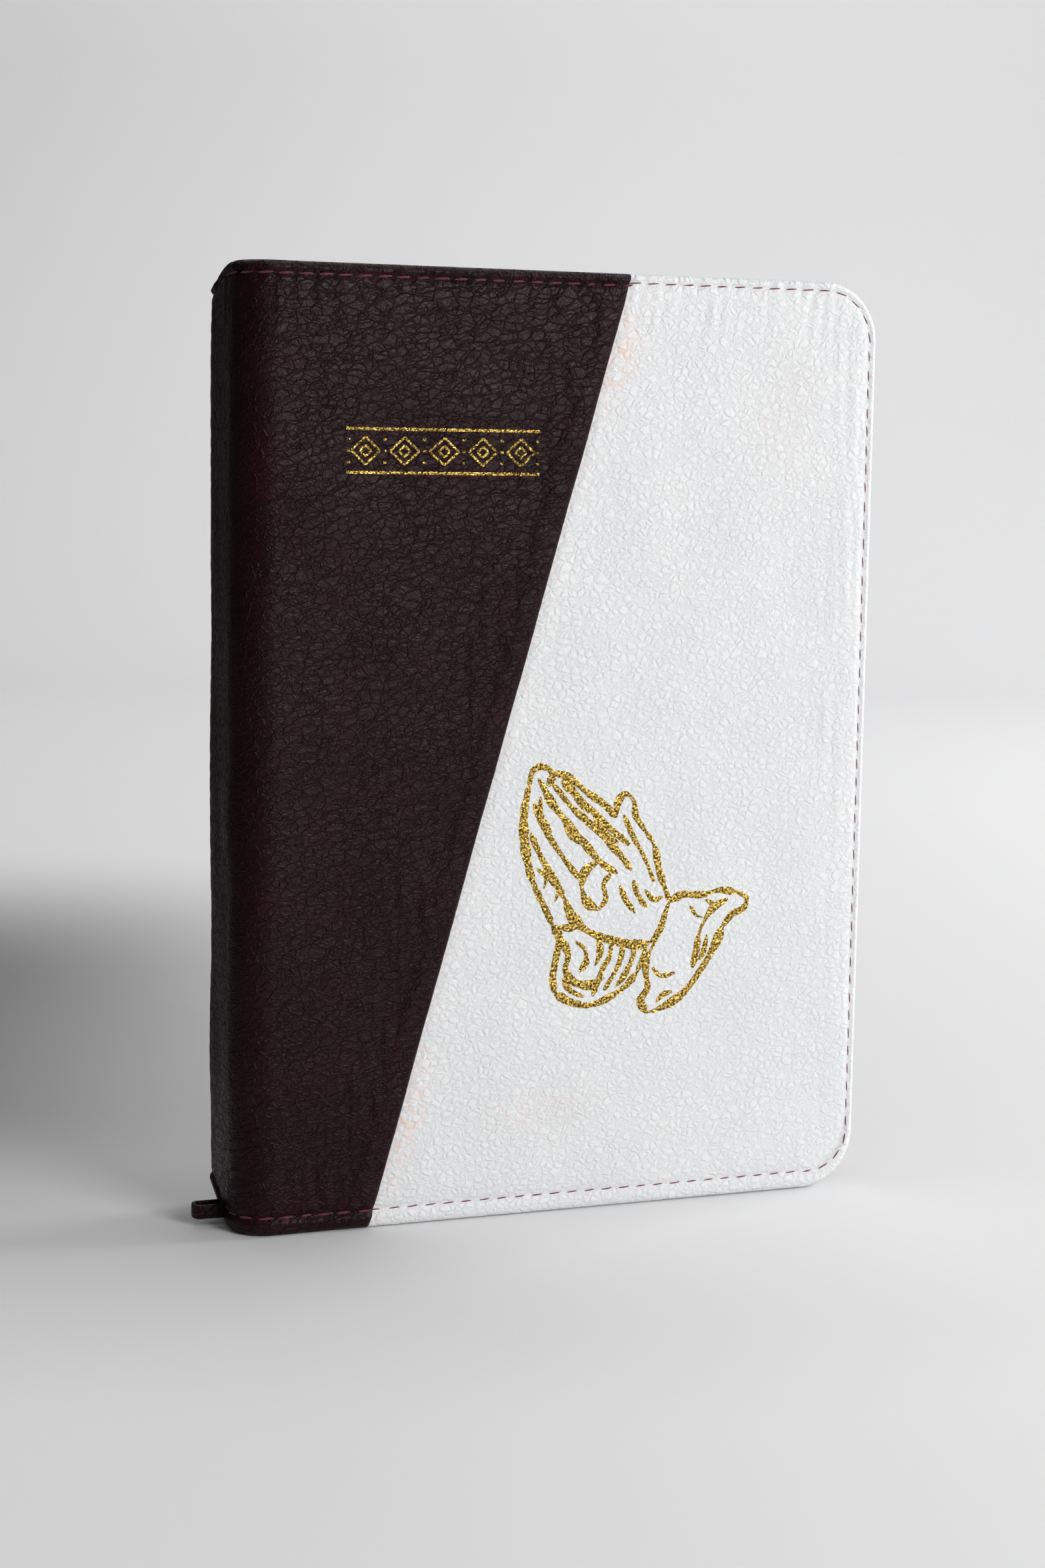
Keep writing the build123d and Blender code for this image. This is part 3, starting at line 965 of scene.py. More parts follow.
    def place(self, s: Array, z: Array, panel: Panel, lift: float = 0.0) -> tuple[Array, Array]:
        """Points on the leather.

        Args:
            s: Distances round the book.
            z: Heights.
            panel: Which skin.
            lift: How far above the leather.

        Returns:
            The points, and the directions away from the book.
        """
        s, z = np.asarray(s, float), np.asarray(z, float)
        x, y, out_x, out_y = self.book.wrap(s)
        rise = self.height(s, z, panel) + lift
        side = -1.0 if panel is Panel.BACK else 1.0
        points = np.stack([x + out_x * rise, side * (y + out_y * rise), z + 0 * x], -1)
        return points, np.stack([out_x + 0 * z, side * out_y + 0 * z, 0 * z + 0 * x], -1)


@dataclass
class CoverSkins:
    """The leather round the book: wine and white in front, wine behind."""

    book: BookFrame
    relief: LeatherRelief
    thickness: float = 1.15
    turn_in: float = 1.5
    spine_rim: float = 1.75
    wine_columns: int = 118
    white_columns: int = 104
    back_columns: int = 150
    corner_columns: int = 26
    bend_before: float = 2.3
    bend_after: float = 1.0

    def shares(self, fine: float) -> Array:
        """Shares of the height for a skin's rows, close together at both edges."""
        steps = [np.arange(0, 4, 0.22 * fine), np.arange(4, 12, 0.5 * fine)]
        half = np.concatenate(steps + [np.arange(12, self.book.height / 2, 0.68 * fine)])
        half = half / self.book.height
        return np.concatenate([half, [0.5], 1 - half[::-1]])

    def columns(self, panel: Panel) -> tuple[Array, Array]:
        """How the columns of a skin run.

        Returns:
            For each column its place s where it is upright, and its share of the way from
            the seam, which is 1 for an upright column.
        """
        book = self.book
        middle = book.around(book.fore_x - book.cover_corner)
        turn = np.linspace(0, QUARTER, self.corner_columns + 1)[1:]
        rounded = middle + book.cover_corner * np.sin(turn)
        if panel is Panel.WINE:
            return np.linspace(0, 1, self.wine_columns), np.zeros(self.wine_columns)
        if panel is Panel.WHITE:
            share = np.linspace(0, 1, self.white_columns)
            upright = np.concatenate([np.full(share.shape, middle), rounded])
            return upright, np.concatenate([share, np.ones(rounded.shape)])
        upright = np.concatenate([np.linspace(0, middle, self.back_columns), rounded])
        return upright, np.ones(upright.shape)

    def grid(self, panel: Panel) -> tuple[Array, Array]:
        """The places (s, z) of a skin's points, row by row from the tail."""
        fine = 1.35 if panel is Panel.BACK else 1.0
        share = self.shares(fine)[:, None]
        first, second = self.columns(panel)
        level = share * self.book.height
        if panel is Panel.WINE:
            s = first[None, :] * self.book.seam(level)
        else:
            seam = self.book.seam(level)
            s = seam + (first[None, :] - seam) * second[None, :]
        dip = self.book.corner_head(self.book.wrap(s)[0]) if panel is not Panel.WINE else 0 * s
        low, high = self.book.foot(s, panel) + dip, self.book.head(s, panel) - dip
        return s, low + share * (high - low)

    def rim(self, s: Array) -> Array:
        """How deep the turned-in edge reaches from the outline, less round the spine."""
        book = self.book
        full = book.outer_y - book.rim_y
        return self.spine_rim + (full - self.spine_rim) * smooth(s, book.bend + 1.5, book.bend + 5)

    def sunk(self, s: Array, z: Array, depth: Any, panel: Panel) -> Array:
        """Points a depth inside the smooth outline."""
        x, y, out_x, out_y = self.book.wrap(s)
        side = -1.0 if panel is Panel.BACK else 1.0
        return np.stack([x - out_x * depth, side * (y - out_y * depth), z + 0 * x], -1)

    def drawn_in(self, s: Array, z: Array, panel: Panel, reach: float) -> tuple[Array, Array]:
        """Moves places near the outline inward so that the outline itself moves by reach."""
        step, within = 0.01, self.relief.inside
        inside = within(s, z, panel)
        up = (within(s, z + step, panel) - within(s, z - step, panel)) / (2 * step)
        fore = 0 * s
        if panel is not Panel.WINE:
            fore = within(s + step, z, panel) - within(s - step, z, panel)
            fore = np.where(self.book.wrap(s)[0] > 0, fore / (2 * step), 0)
        length = np.maximum(np.hypot(up, fore), 1e-6)
        move = np.clip(reach * (1 - inside / (2 * reach)), 0, reach)
        return s + fore / length * move, z + up / length * move

    def skin(self, panel: Panel, finish: Any) -> bpy.types.Object:
        """Builds one closed skin: face, rolled edge, turned-in rim and flesh side."""
        s, z = self.grid(panel)
        rows, columns = s.shape
        outer, _ = self.relief.place(s, z, panel)
        inner_s, inner_z = self.drawn_in(s, z, panel, self.turn_in)
        inner = self.sunk(inner_s, inner_z, self.thickness, panel)
        points = [outer.reshape(-1, 3), inner.reshape(-1, 3)]
        flat = [np.stack([s, 0 * s, z], -1).reshape(-1, 3)] * 2
        count = rows * columns
        number = np.arange(count).reshape(rows, columns)
        faces = grid_faces(rows, columns) + grid_faces(rows, columns, count)
        if panel is Panel.WINE:
            borders = [number[0], number[-1]]
        else:
            borders = [np.concatenate([number[0], number[1:-1, -1], number[-1, ::-1]])]
        total = 2 * count
        for border in borders:
            edge_s, edge_z = s.ravel()[border], z.ravel()[border]
            deep = self.rim(edge_s)
            rings = [(0.0, deep - 0.35), (0.12, deep - 0.1), (0.4, deep), (self.turn_in, deep)]
            lines = [border]
            for reach, depth in rings:
                ring_s, ring_z = edge_s, edge_z
                if reach:
                    ring_s, ring_z = self.drawn_in(edge_s, edge_z, panel, reach)
                points.append(self.sunk(ring_s, ring_z, depth, panel))
                flat.append(np.stack([ring_s, depth + 0 * ring_s, ring_z], -1))
                lines.append(total + np.arange(len(border)))
                total += len(border)
            lines.append(border + count)
            for above, under in zip(lines, lines[1:]):
                strip = zip(above, above[1:], under[1:], under)
                faces += [tuple(int(i) for i in quad) for quad in strip]
            faces += [tuple(int(line[end]) for line in lines) for end in (0, -1)]
        for column in [0, -1] if panel is Panel.WINE else [0]:
            line = number[:, column]
            strip = zip(line, line[1:], line[1:] + count, line + count)
            faces += [tuple(int(i) for i in quad) for quad in strip]
        flat_all = np.concatenate(flat)
        stain = self.stain(flat_all[:, 0], flat_all[:, 2], panel)
        name, everything = f"skin_{panel.value}", np.concatenate(points)
        return put_mesh(name, everything, faces, finish, flat=flat_all, stain=stain)

    def stain(self, s: Array, z: Array, panel: Panel) -> Array:
        """Where dye from the wine leather has marked the white."""
        if panel is not Panel.WHITE:
            return 0 * s
        away = np.abs(self.book.seam(z) - s)
        high = bell(away - 2.0, 3.0) * bell(z - 160.0, 7.5) * 1.1
        low = bell(away - 2.0, 2.6) * bell(z - 19.0, 10.0) * 0.8
        foot = bell(away - 27.0, 9.0) * bell(z - 20.0, 4.0) * 0.30
        faint = bell(away - 1.2, 1.4) * 0.22 * (z < 150)
        corner = bell(s - self.book.around(47.0), 6.0) * bell(z - 150.0, 12.0) * 0.2
        return np.clip(high + low + foot + faint + corner, 0, 1)

    def bend(self) -> tuple[tuple, tuple]:
        """Two places just either side of the board's hinge: one just short of it and one just past it."""
        hinge = self.book.hinge_x
        return ((hinge - self.bend_before) * MM, 0, 0), ((hinge + self.bend_after) * MM, 0, 0)

    def build(self) -> None:
        """Builds the three skins and hangs the white one on the front cover."""
        start, end = self.bend()
        wine = self.skin(Panel.WINE, WINE)
        white = self.skin(Panel.WHITE, WHITE)
        back = self.skin(Panel.BACK, WINE)
        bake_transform(wine)
        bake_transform(back)
        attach(white, "front_cover")
        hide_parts("front_leather_wine", "spine_leather")
        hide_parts("front_leather_white")
        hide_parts("back_leather")


@dataclass
class Stitching:
    """The line of stitches near each cover's edge."""

    book: BookFrame
    relief: LeatherRelief
    skins: CoverSkins
    length: float = 2.9
    pale_length: float = 2.4
    thickness: float = 0.23
    pale_thickness: float = 0.15
    sunk: float = 0.02
    step: float = 0.5
    lean: float = 0.07
    short_of_seam: float = 0.6
    past_seam_head: float = 0.8
    past_seam_tail: float = 1.6

    def sewn_path(self, panel: Panel, part: str) -> tuple[Array, Array]:
        """The places (s, z) of a line of stitches.

        Args:
            panel: Which skin it is sewn through.
            part: "head", "tail", or "round" for a line that goes round the fore-edge.

        Returns:
            The two coordinates of points along the line.
        """
        book, relief = self.book, self.relief
        if panel is Panel.WINE:
            level = book.height if part == "head" else 0.0
            end = float(book.seam(np.array(level)))
            s = np.arange(0.0, end - self.short_of_seam, self.step)
            if part == "head":
                return s, book.head(s, panel) - relief.head_inset_wine
            return s, book.foot(s, panel) + relief.tail_inset
        start_head = start_tail = 0.0
        if panel is Panel.WHITE:
            start_head = float(book.seam(np.array(book.height))) + self.past_seam_head
            start_tail = float(book.seam(np.array(0.0))) + self.past_seam_tail
        middle = book.around(book.fore_x - book.cover_corner)
        head = relief.head_inset_wine if panel is Panel.BACK else relief.head_inset_white
        fore, tail, corner = relief.fore_inset, relief.tail_inset, book.cover_corner
        out = np.arange(start_head, middle, self.step)
        back = np.arange(start_tail, middle, self.step)[::-1]
        turn = np.linspace(0, QUARTER, 22)
        upper_inset = head + (fore - head) * turn / QUARTER
        lower_inset = fore + (tail - fore) * turn / QUARTER
        up_s = middle + (corner - upper_inset) * np.sin(turn)
        up_z = book.height - corner + (corner - upper_inset) * np.cos(turn)
        low_s = middle + (corner - lower_inset) * np.cos(turn)
        low_z = corner - (corner - lower_inset) * np.sin(turn)
        side = np.arange(corner + 1, book.height - corner - 0.5, self.step)[::-1]
        s = np.concatenate([out, up_s, np.full(side.shape, middle + corner - fore), low_s, back])
        ends = book.head(out, panel) - head, book.foot(back, panel) + tail
        z = np.concatenate([ends[0], up_z, side, low_z, ends[1]])
        return s, z

    def sew(self, panel: Panel, part: str, recipe: Recipe, finish: Any) -> bpy.types.Object:
        """Sews one line of stitches."""
        pale = panel is Panel.WHITE
        s, z = self.sewn_path(panel, part)
        points, outward = self.relief.place(s, z, panel, -self.sunk)
        piece = path_piece(f"stitches_{panel.value}_{part}", points, outward)
        return recipe.cook(
            piece, finish, Pitch=self.relief.stitch_pitch * MM, Lean=self.lean,
            Length=(self.pale_length if pale else self.length) * MM,
            Thickness=(self.pale_thickness if pale else self.thickness) * MM,
        )

    def build(self) -> None:
        """Sews every line and hangs the white leather's line on the front cover."""
        recipe = stitch_recipe()
        start, end = self.skins.bend()
        for part in ("head", "tail"):
            front = self.sew(Panel.WINE, part, recipe, SEAM_THREAD)
            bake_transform(front)
        back = self.sew(Panel.BACK, "round", recipe, SEAM_THREAD)
        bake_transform(back)
        white = self.sew(Panel.WHITE, "round", recipe, PALE_THREAD)
        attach(white, "front_cover")


# ---- gold foil


@dataclass
class Stroke:
    """One drawn line of foil: shares of a box, and the width of the line."""

    points: tuple[tuple[float, float], ...]
    width: float = 1.0
    closed: bool = False
    plain: bool = False


@dataclass
class FoilWork:
    """Foil strokes pressed into the leather."""

    relief: LeatherRelief
    lift: float = 0.05
    edge_dip: float = 0.16
    raggedness: float = 0.17
    weight: float = 1.0
    step: float = 0.3

    def curve(self, stroke: Stroke, low: Array, size: Array) -> Array:
        """Even points along a smooth curve through a stroke's points."""
        knots = low + np.array(stroke.points) * size
        if stroke.closed:
            knots = np.vstack([knots, knots[:1]])
        if stroke.plain:
            fine = [np.linspace(a, b, 24, endpoint=False) for a, b in zip(knots, knots[1:])]
            line = np.vstack(fine + [knots[-1:]])
        else:
            padded = np.vstack([2 * knots[0] - knots[1], knots, 2 * knots[-1] - knots[-2]])
            if stroke.closed:
                padded[0], padded[-1] = knots[-2], knots[1]
            t = np.linspace(0, 1, 16, endpoint=False)[:, None]
            parts = []
            for a, b, c, d in zip(padded, padded[1:], padded[2:], padded[3:]):
                bend, twist = 2 * a - 5 * b + 4 * c - d, 3 * b - 3 * c + d - a
                parts.append(0.5 * (2 * b + (c - a) * t + bend * t**2 + twist * t**3))
            line = np.vstack(parts + [knots[-1:]])
        run = np.concatenate([[0], np.cumsum(np.linalg.norm(np.diff(line, axis=0), axis=1))])
        even = np.linspace(0, run[-1], max(4, int(run[-1] / self.step)))
        return np.stack([np.interp(even, run, line[:, 0]), np.interp(even, run, line[:, 1])], 1)

    def ribbon(self, stroke: Stroke, low: Array, size: Array, panel: Panel, seed: int):
        """A stroke's closed ribbon on the leather.

        Args:
            stroke: The line to draw.
            low: The lower left corner of the drawing's box, as (x, z).
            size: The box's width and height.
            panel: The leather it is pressed into.
            seed: Fixes its ragged edges.

        Returns:
            Rings of points, and each point's flat place.
        """
        line = self.curve(stroke, low, size)
        ahead = np.gradient(line, axis=0)
        ahead /= np.maximum(np.linalg.norm(ahead, axis=1)[:, None], 1e-9)
        across = np.stack([-ahead[:, 1], ahead[:, 0]], 1)
        steps = np.arange(len(line)) * self.step
        rough = 0.0 if stroke.plain else self.raggedness
        taper = np.ones(len(line))
        if not stroke.closed and not stroke.plain:
            end = np.minimum(np.arange(len(line)), np.arange(len(line))[::-1])
            taper = 0.4 + 0.6 * np.clip(end / 4.0, 0, 1)
        swell = 1.0 + (0.0 if stroke.plain else 0.28) * waves(steps, 0 * steps, 6.0, seed)
        half = self.weight * stroke.width / 2 * taper * swell
        sides = []
        for sign, share in ((-1, 1.0), (-1, 0.62), (1, 0.62), (1, 1.0)):
            jag = rough * waves(steps, 0 * steps, 1.1, seed + 3 * sign + 5) * (share == 1.0)
            sides.append(line + across * (sign * (half * share + jag))[:, None])
        rings, flats = [], []
        for side, deep in zip(sides, (self.edge_dip, 0.0, 0.0, self.edge_dip)):
            s = self.relief.book.around(side[:, 0])
            point, _ = self.relief.place(s, side[:, 1], panel, self.lift - deep)
            rings.append(point)
            flats.append(np.stack([s, 0 * s, side[:, 1]], -1))
        return np.stack(rings, 1), np.stack(flats, 1)

    def press(self, name: str, strokes: list[Stroke], node: str, panel: Panel) -> bpy.types.Object:
        """Presses a drawing into the leather where its CAD film lies."""
        low, high = node_box(node)
        corner, size = low[[0, 2]], (high - low)[[0, 2]]
        points, flats, faces, total = [], [], [], 0
        for seed, stroke in enumerate(strokes):
            rings, flat = self.ribbon(stroke, corner, size, panel, 101 + 13 * seed)
            faces += closed_tube(rings, total)
            points.append(rings.reshape(-1, 3))
            flats.append(flat.reshape(-1, 3))
            total += rings.shape[0] * rings.shape[1]
        everything = np.concatenate(points)
        piece = put_mesh(name, everything, faces, FOIL, flat=np.concatenate(flats))
        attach(piece, "front_cover")
        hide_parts(node)
        return piece


@dataclass
class FoilBand(FoilWork):
    """Two rules with a row of lozenges and beads between them."""

    lozenges: int = 5
    rule: float = 0.75
    raggedness: float = 0.05

    def strokes(self) -> list[Stroke]:
        """The band's strokes in shares of its box."""
        made = [Stroke(((0.0, y), (1.0, y)), self.rule, plain=True) for y in (0.045, 0.955)]
        wide = 0.5 / self.lozenges
        for number in range(self.lozenges):
            middle = (number + 0.5) / self.lozenges
            for reach in (0.80, 0.32):
                across, up = wide * reach * 0.92, 0.36 * reach
                left, right = (middle - across, 0.5), (middle + across, 0.5)
                diamond = ((middle, 0.5 + up), right, (middle, 0.5 - up), left)
                made.append(Stroke(diamond, 0.62, closed=True, plain=True))
        for number in range(self.lozenges + 1):
            middle = min(max(number / self.lozenges, 0.012), 0.988)
            for up in (0.26, 0.5, 0.74):
                bead = ((middle - 0.008, up), (middle + 0.008, up))
                made.append(Stroke(bead, 0.6, plain=True))
        return made

    def build(self) -> None:
        """Presses the band into the wine leather."""
        self.press("foil_rules_and_lozenges", self.strokes(), "foil_band", Panel.WINE)


# The emblem's lines: a width, then pairs of X and Z in hundredths of the drawing's box.
OUTLINE = (
    (1.15, 2, 93, 0, 80, 1, 68, 4, 56, 9, 46, 13, 38),
    (1.1, 2, 92, 3.5, 98, 8, 99.5, 12, 96.5, 10, 92),
    (1.2, 11, 97.5, 19, 95, 27, 89, 34, 84.5, 40, 79),
    (1.1, 40, 79, 40.5, 85, 44, 88, 47.5, 85, 48.5, 79, 53, 73),
    (1.2, 53, 73, 57, 67, 59, 58, 62, 50, 64, 45),
)
FINGERS = (
    (1.05, 6, 95, 13, 84, 23, 73, 33, 62, 41, 57),
    (1.1, 12, 93, 21, 83, 32, 74, 42, 64, 47, 58),
    (0.95, 16, 94, 27, 84, 37, 75, 46, 68),
    (1.0, 4, 86, 10, 74, 18, 63, 25, 55),
    (0.95, 3, 74, 8, 64, 14, 55, 18, 48),
    (0.9, 43, 80, 47, 72, 53, 62, 57, 53),
    (0.8, 7, 88, 7.5, 80, 12, 74),
    (0.8, 20, 90, 25, 84, 31, 80),
    (0.8, 30, 80, 35, 73, 41, 69),
    (0.8, 17, 78, 21, 72, 27, 68),
)
PALM = (
    (1.15, 33, 62, 27, 58.5, 25.5, 52, 28, 46, 33, 43),
    (0.95, 33, 43, 36, 47, 35, 53, 38, 57),
    (1.3, 18, 48, 22, 40, 29, 34.5, 38, 31, 49, 28.5, 56, 29),
    (1.15, 56, 29, 60, 34, 62, 40, 64, 45),
    (0.9, 48, 54, 50, 48, 54, 43),
    (0.8, 42, 52, 45, 46, 49, 41),
    (0.8, 11, 56, 15, 52, 14, 47),
    (0.7, 6, 60, 10, 57, 9, 52),
    (0.8, 53, 50, 57, 46, 61, 47),
)
NEAR_CUFF = (
    (1.15, 13, 38, 16, 33, 15, 26, 13.5, 18, 14.5, 11),
    (1.2, 14.5, 11, 22, 7, 30, 5.5, 38, 8, 45, 12, 50, 17),
    (1.0, 15, 37, 20, 36.5, 24, 37),
    (1.2, 17, 32, 20, 26, 19, 20, 23, 15, 30, 13.5, 36, 16),
    (0.9, 23, 31, 27, 28, 28, 23, 25, 19),
    (0.9, 33, 32, 34, 26, 32, 21),
    (0.95, 39, 30.5, 38, 24, 35, 19, 31, 9),
    (0.95, 44, 29.5, 43, 23, 40, 17, 36, 11),
    (0.95, 49, 28.5, 48, 23, 45, 17, 41, 12),
    (0.95, 54, 28.5, 53, 24, 50, 17),
    (0.8, 18, 17, 21, 12, 27, 9),
)
FAR_CUFF = (
    (1.1, 64, 45, 70, 47.5, 78, 47, 86, 48.5, 94, 47.5),
    (1.1, 94, 47.5, 98.5, 45, 97.5, 41, 92, 38.5, 88, 34),
    (1.15, 88, 34, 84, 25, 78, 16, 71, 8, 62, 3, 55, 1),
    (1.1, 55, 1, 52, 6, 55, 11, 54, 18, 55, 24, 59, 31),
    (1.0, 90, 45, 83, 41, 78, 33, 76.5, 25, 75, 18),
    (0.8, 80, 45, 84, 43, 88, 43),
    (0.8, 73, 43, 76, 39, 79, 38),
    (0.9, 57, 19, 61, 15.5, 67, 16.5),
    (0.8, 59, 5, 62, 8, 66, 9),
    (0.8, 81, 31, 80, 25, 78, 21),
)


@dataclass
class FoilEmblem(FoilWork):
    """Two hands pressed together above loose cuffs, drawn in short broken lines."""

    weight: float = 1.65

    def strokes(self) -> list[Stroke]:
        """The drawing's strokes in shares of its box."""
        made = []
        for width, *places in OUTLINE + FINGERS + PALM + NEAR_CUFF + FAR_CUFF:
            shares = [place / 100 for place in places]
            made.append(Stroke(tuple(zip(shares[::2], shares[1::2])), width))
        return made

    def build(self) -> None:
        """Presses the emblem into the white leather."""
        self.press("foil_praying_hands", self.strokes(), "foil_emblem", Panel.WHITE)


# ---- pages and binding


@dataclass
class TextBlock:
    """Flyleaves and sections of thin leaves, each bending from its fold at the spine."""

    corner: float = 6.0
    leaves: int = 12
    flyleaf_leaves: int = 3
    fill: float = 0.62
    shuffle: float = 0.09
    fold_reach: float = 2.2
    section_bevel: float = 7.0
    flyleaf_bevel: float = 3.0

    def leaf(self, name: str, low: Array, high: Array, thickness: float) -> bpy.types.Object:
        """One leaf as a thin closed slab with rounded fore-edge corners."""
        near = np.array([0.0, 0.8, 1.8, 3.0, 4.5, 6.2, 8.2, 10.5, 13.0, 16.0, 20.0, 30.0, 60.0])
        turn = np.linspace(0, QUARTER, 9)
        x = np.concatenate([low[0] + near, high[0] - self.corner + self.corner * np.sin(turn)])
        dip = np.concatenate([0 * near, self.corner * (1 - np.cos(turn))])
        share = np.linspace(0, 1, 7)[:, None]
        z = low[2] + dip + share * (high[2] - low[2] - 2 * dip)
        sheet = np.stack([x + 0 * z, 0 * z, z], -1)
        rows, columns = z.shape
        count = rows * columns
        number = np.arange(count).reshape(rows, columns)
        border = np.concatenate(
            [number[0], number[1:, -1], number[-1, -2::-1], number[-2:0:-1, 0]]
        )
        under = sheet + np.array([0, thickness, 0])
        faces = grid_faces(rows, columns) + grid_faces(rows, columns, count)
        after = np.roll(border, -1)
        faces += [(int(a), int(b), int(b + count), int(a + count)) for a, b in zip(border, after)]
        both = np.concatenate([sheet.reshape(-1, 3), under.reshape(-1, 3)])
        return put_mesh(name, both, faces, PAPER)

    def stack(self, recipe: Recipe, node: str, leaves: int, bevel: float) -> None:
        """Replaces one bound section by a stack of separate leaves."""
        low, high = node_box(node)
        outside = max(abs(low[1]), abs(high[1]))
        thickness = float(high[1] - low[1])
        pitch = thickness / leaves
        leaf = self.leaf(f"{node}_leaves", low, high, pitch * self.fill)
        first = low[1] + pitch * (1 - self.fill) / 2
        fold, reach = float(low[0]) * MM, self.fold_reach * MM
        leaf.data.transform(Matrix.Translation((0, first * MM, 0)))
        recipe.cook(
            leaf, PAPER, Leaves=leaves, Pitch=pitch * MM, Shuffle=self.shuffle * MM, Fold=fold,
            Bevel=bevel * MM, Outside=float(outside) * MM, Thickness=thickness * MM,
        )
        leaf.data.set_sharp_from_angle(angle=math.radians(40))
        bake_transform(leaf)
        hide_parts(node)

    def build(self) -> None:
        """Builds both halves of the text block."""
        recipe = stack_recipe()
        for side in ("front", "back"):
            self.stack(recipe, f"{side}_flyleaf", self.flyleaf_leaves, self.flyleaf_bevel)
            for number in range(1, 6):
                self.stack(recipe, f"{side}_section_{number}", self.leaves, self.section_bevel)


@dataclass
class Binding:
    """What holds the block in the spine, and the linings of the covers."""

    band_pitch: float = 0.36
    band_wire: float = 0.19
    band_lean: float = 0.12

    def dress(self, finish: Any, *nodes: str) -> None:
        """Gives CAD nodes a finish."""
        for node in nodes:
            piece = bpy.data.objects[node]
            piece.data.materials.clear()
            piece.data.materials.append(PAINTS.of(finish))
            log.info("%s: dressed in %s", node, finish.name)

    def wind(self, recipe: Recipe, node: str) -> None:
        """Replaces a band's core by wound thread."""
        low, high = node_box(node)
        middle = (low + high) / 2
        width = float(high[0] - low[0])
        y = np.linspace(low[1] + self.band_wire, high[1] - self.band_wire, 40)
        points = np.stack([middle[0] + 0 * y, y, middle[2] + 0 * y], -1)
        outward = np.tile([0.0, 0.0, 1.0], (len(y), 1))
        piece = path_piece(f"{node}_winding", points, outward)
        recipe.cook(
            piece, BAND_THREAD, Pitch=self.band_pitch * MM, Width=width * MM,
            Height=width * MM, Wire=self.band_wire * MM, Lean=self.band_lean,
        )
        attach(piece, "spine")
        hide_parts(node)

    def build(self, recipe: Recipe) -> None:
        """Winds the bands and dresses the rest."""
        for node in ("headband", "tailband"):
            self.wind(recipe, node)
        self.dress(BOARD, "spine_inlay", "front_board", "back_board")
        self.dress(MULL, "spine_mull")
        self.dress(BOUND_PAPER, "bound_section_backs")
        self.dress(LINING, "front_lining", "back_lining")
        self.dress(TAPE, "zip_tape_front", "zip_tape_back", "zip_tape_end")
        self.dress(BRASS, "zip_slider", "zip_pull", "zip_stops_front", "zip_stops_back")


@dataclass
class ZipRound:
    """Two rows of coil round head, fore-edge and tail."""

    book: BookFrame
    pitch: float = 1.05
    wire: float = 0.27
    height: float = 1.3
    lean: float = 0.22

    def path(self, side: float) -> tuple[Array, Array]:
        """The line of one row and the directions away from the book."""
        book = self.book
        inset = book.zip_inset
        corner = book.cover_corner - inset
        middle_x = book.fore_x - inset - corner
        run = np.arange(book.coil_start_x + 0.3, middle_x, 0.8)
        turn = np.linspace(0, QUARTER, 16)
        top = book.height - inset - corner
        rise = np.arange(inset + corner + 0.5, top, 0.8)
        up_x, up_z = middle_x + corner * np.sin(turn), top + corner * np.cos(turn)
        fore_x, head_z = np.full(rise.shape, book.fore_x - inset), 0 * run + book.height - inset
        x = np.concatenate([run, up_x, fore_x, up_x[::-1], run[::-1]])
        z = np.concatenate([head_z, up_z, rise[::-1], book.height - up_z[::-1], 0 * run + inset])
        away_x = np.concatenate([0 * run, np.sin(turn), 1 + 0 * rise, np.sin(turn[::-1]), 0 * run])
        down = 0 * run - 1
        away_z = np.concatenate([1 + 0 * run, np.cos(turn), 0 * rise, -np.cos(turn[::-1]), down])
        points = np.stack([x, 0 * x + side * book.coil_y, z], -1)
        return points, np.stack([away_x, 0 * x, away_z], -1)

    def build(self, recipe: Recipe) -> None:
        """Winds both rows of coil."""
        for name, side in (("front", -1.0), ("back", 1.0)):
            points, outward = self.path(side)
            piece = path_piece(f"coil_row_{name}", points, outward)
            recipe.cook(
                piece, COIL, Pitch=self.pitch * MM, Width=self.book.coil_width * MM,
                Height=self.height * MM, Wire=self.wire * MM, Lean=side * self.lean,
            )
            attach(piece, f"{name}_cover")
            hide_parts(f"zip_coil_{name}")


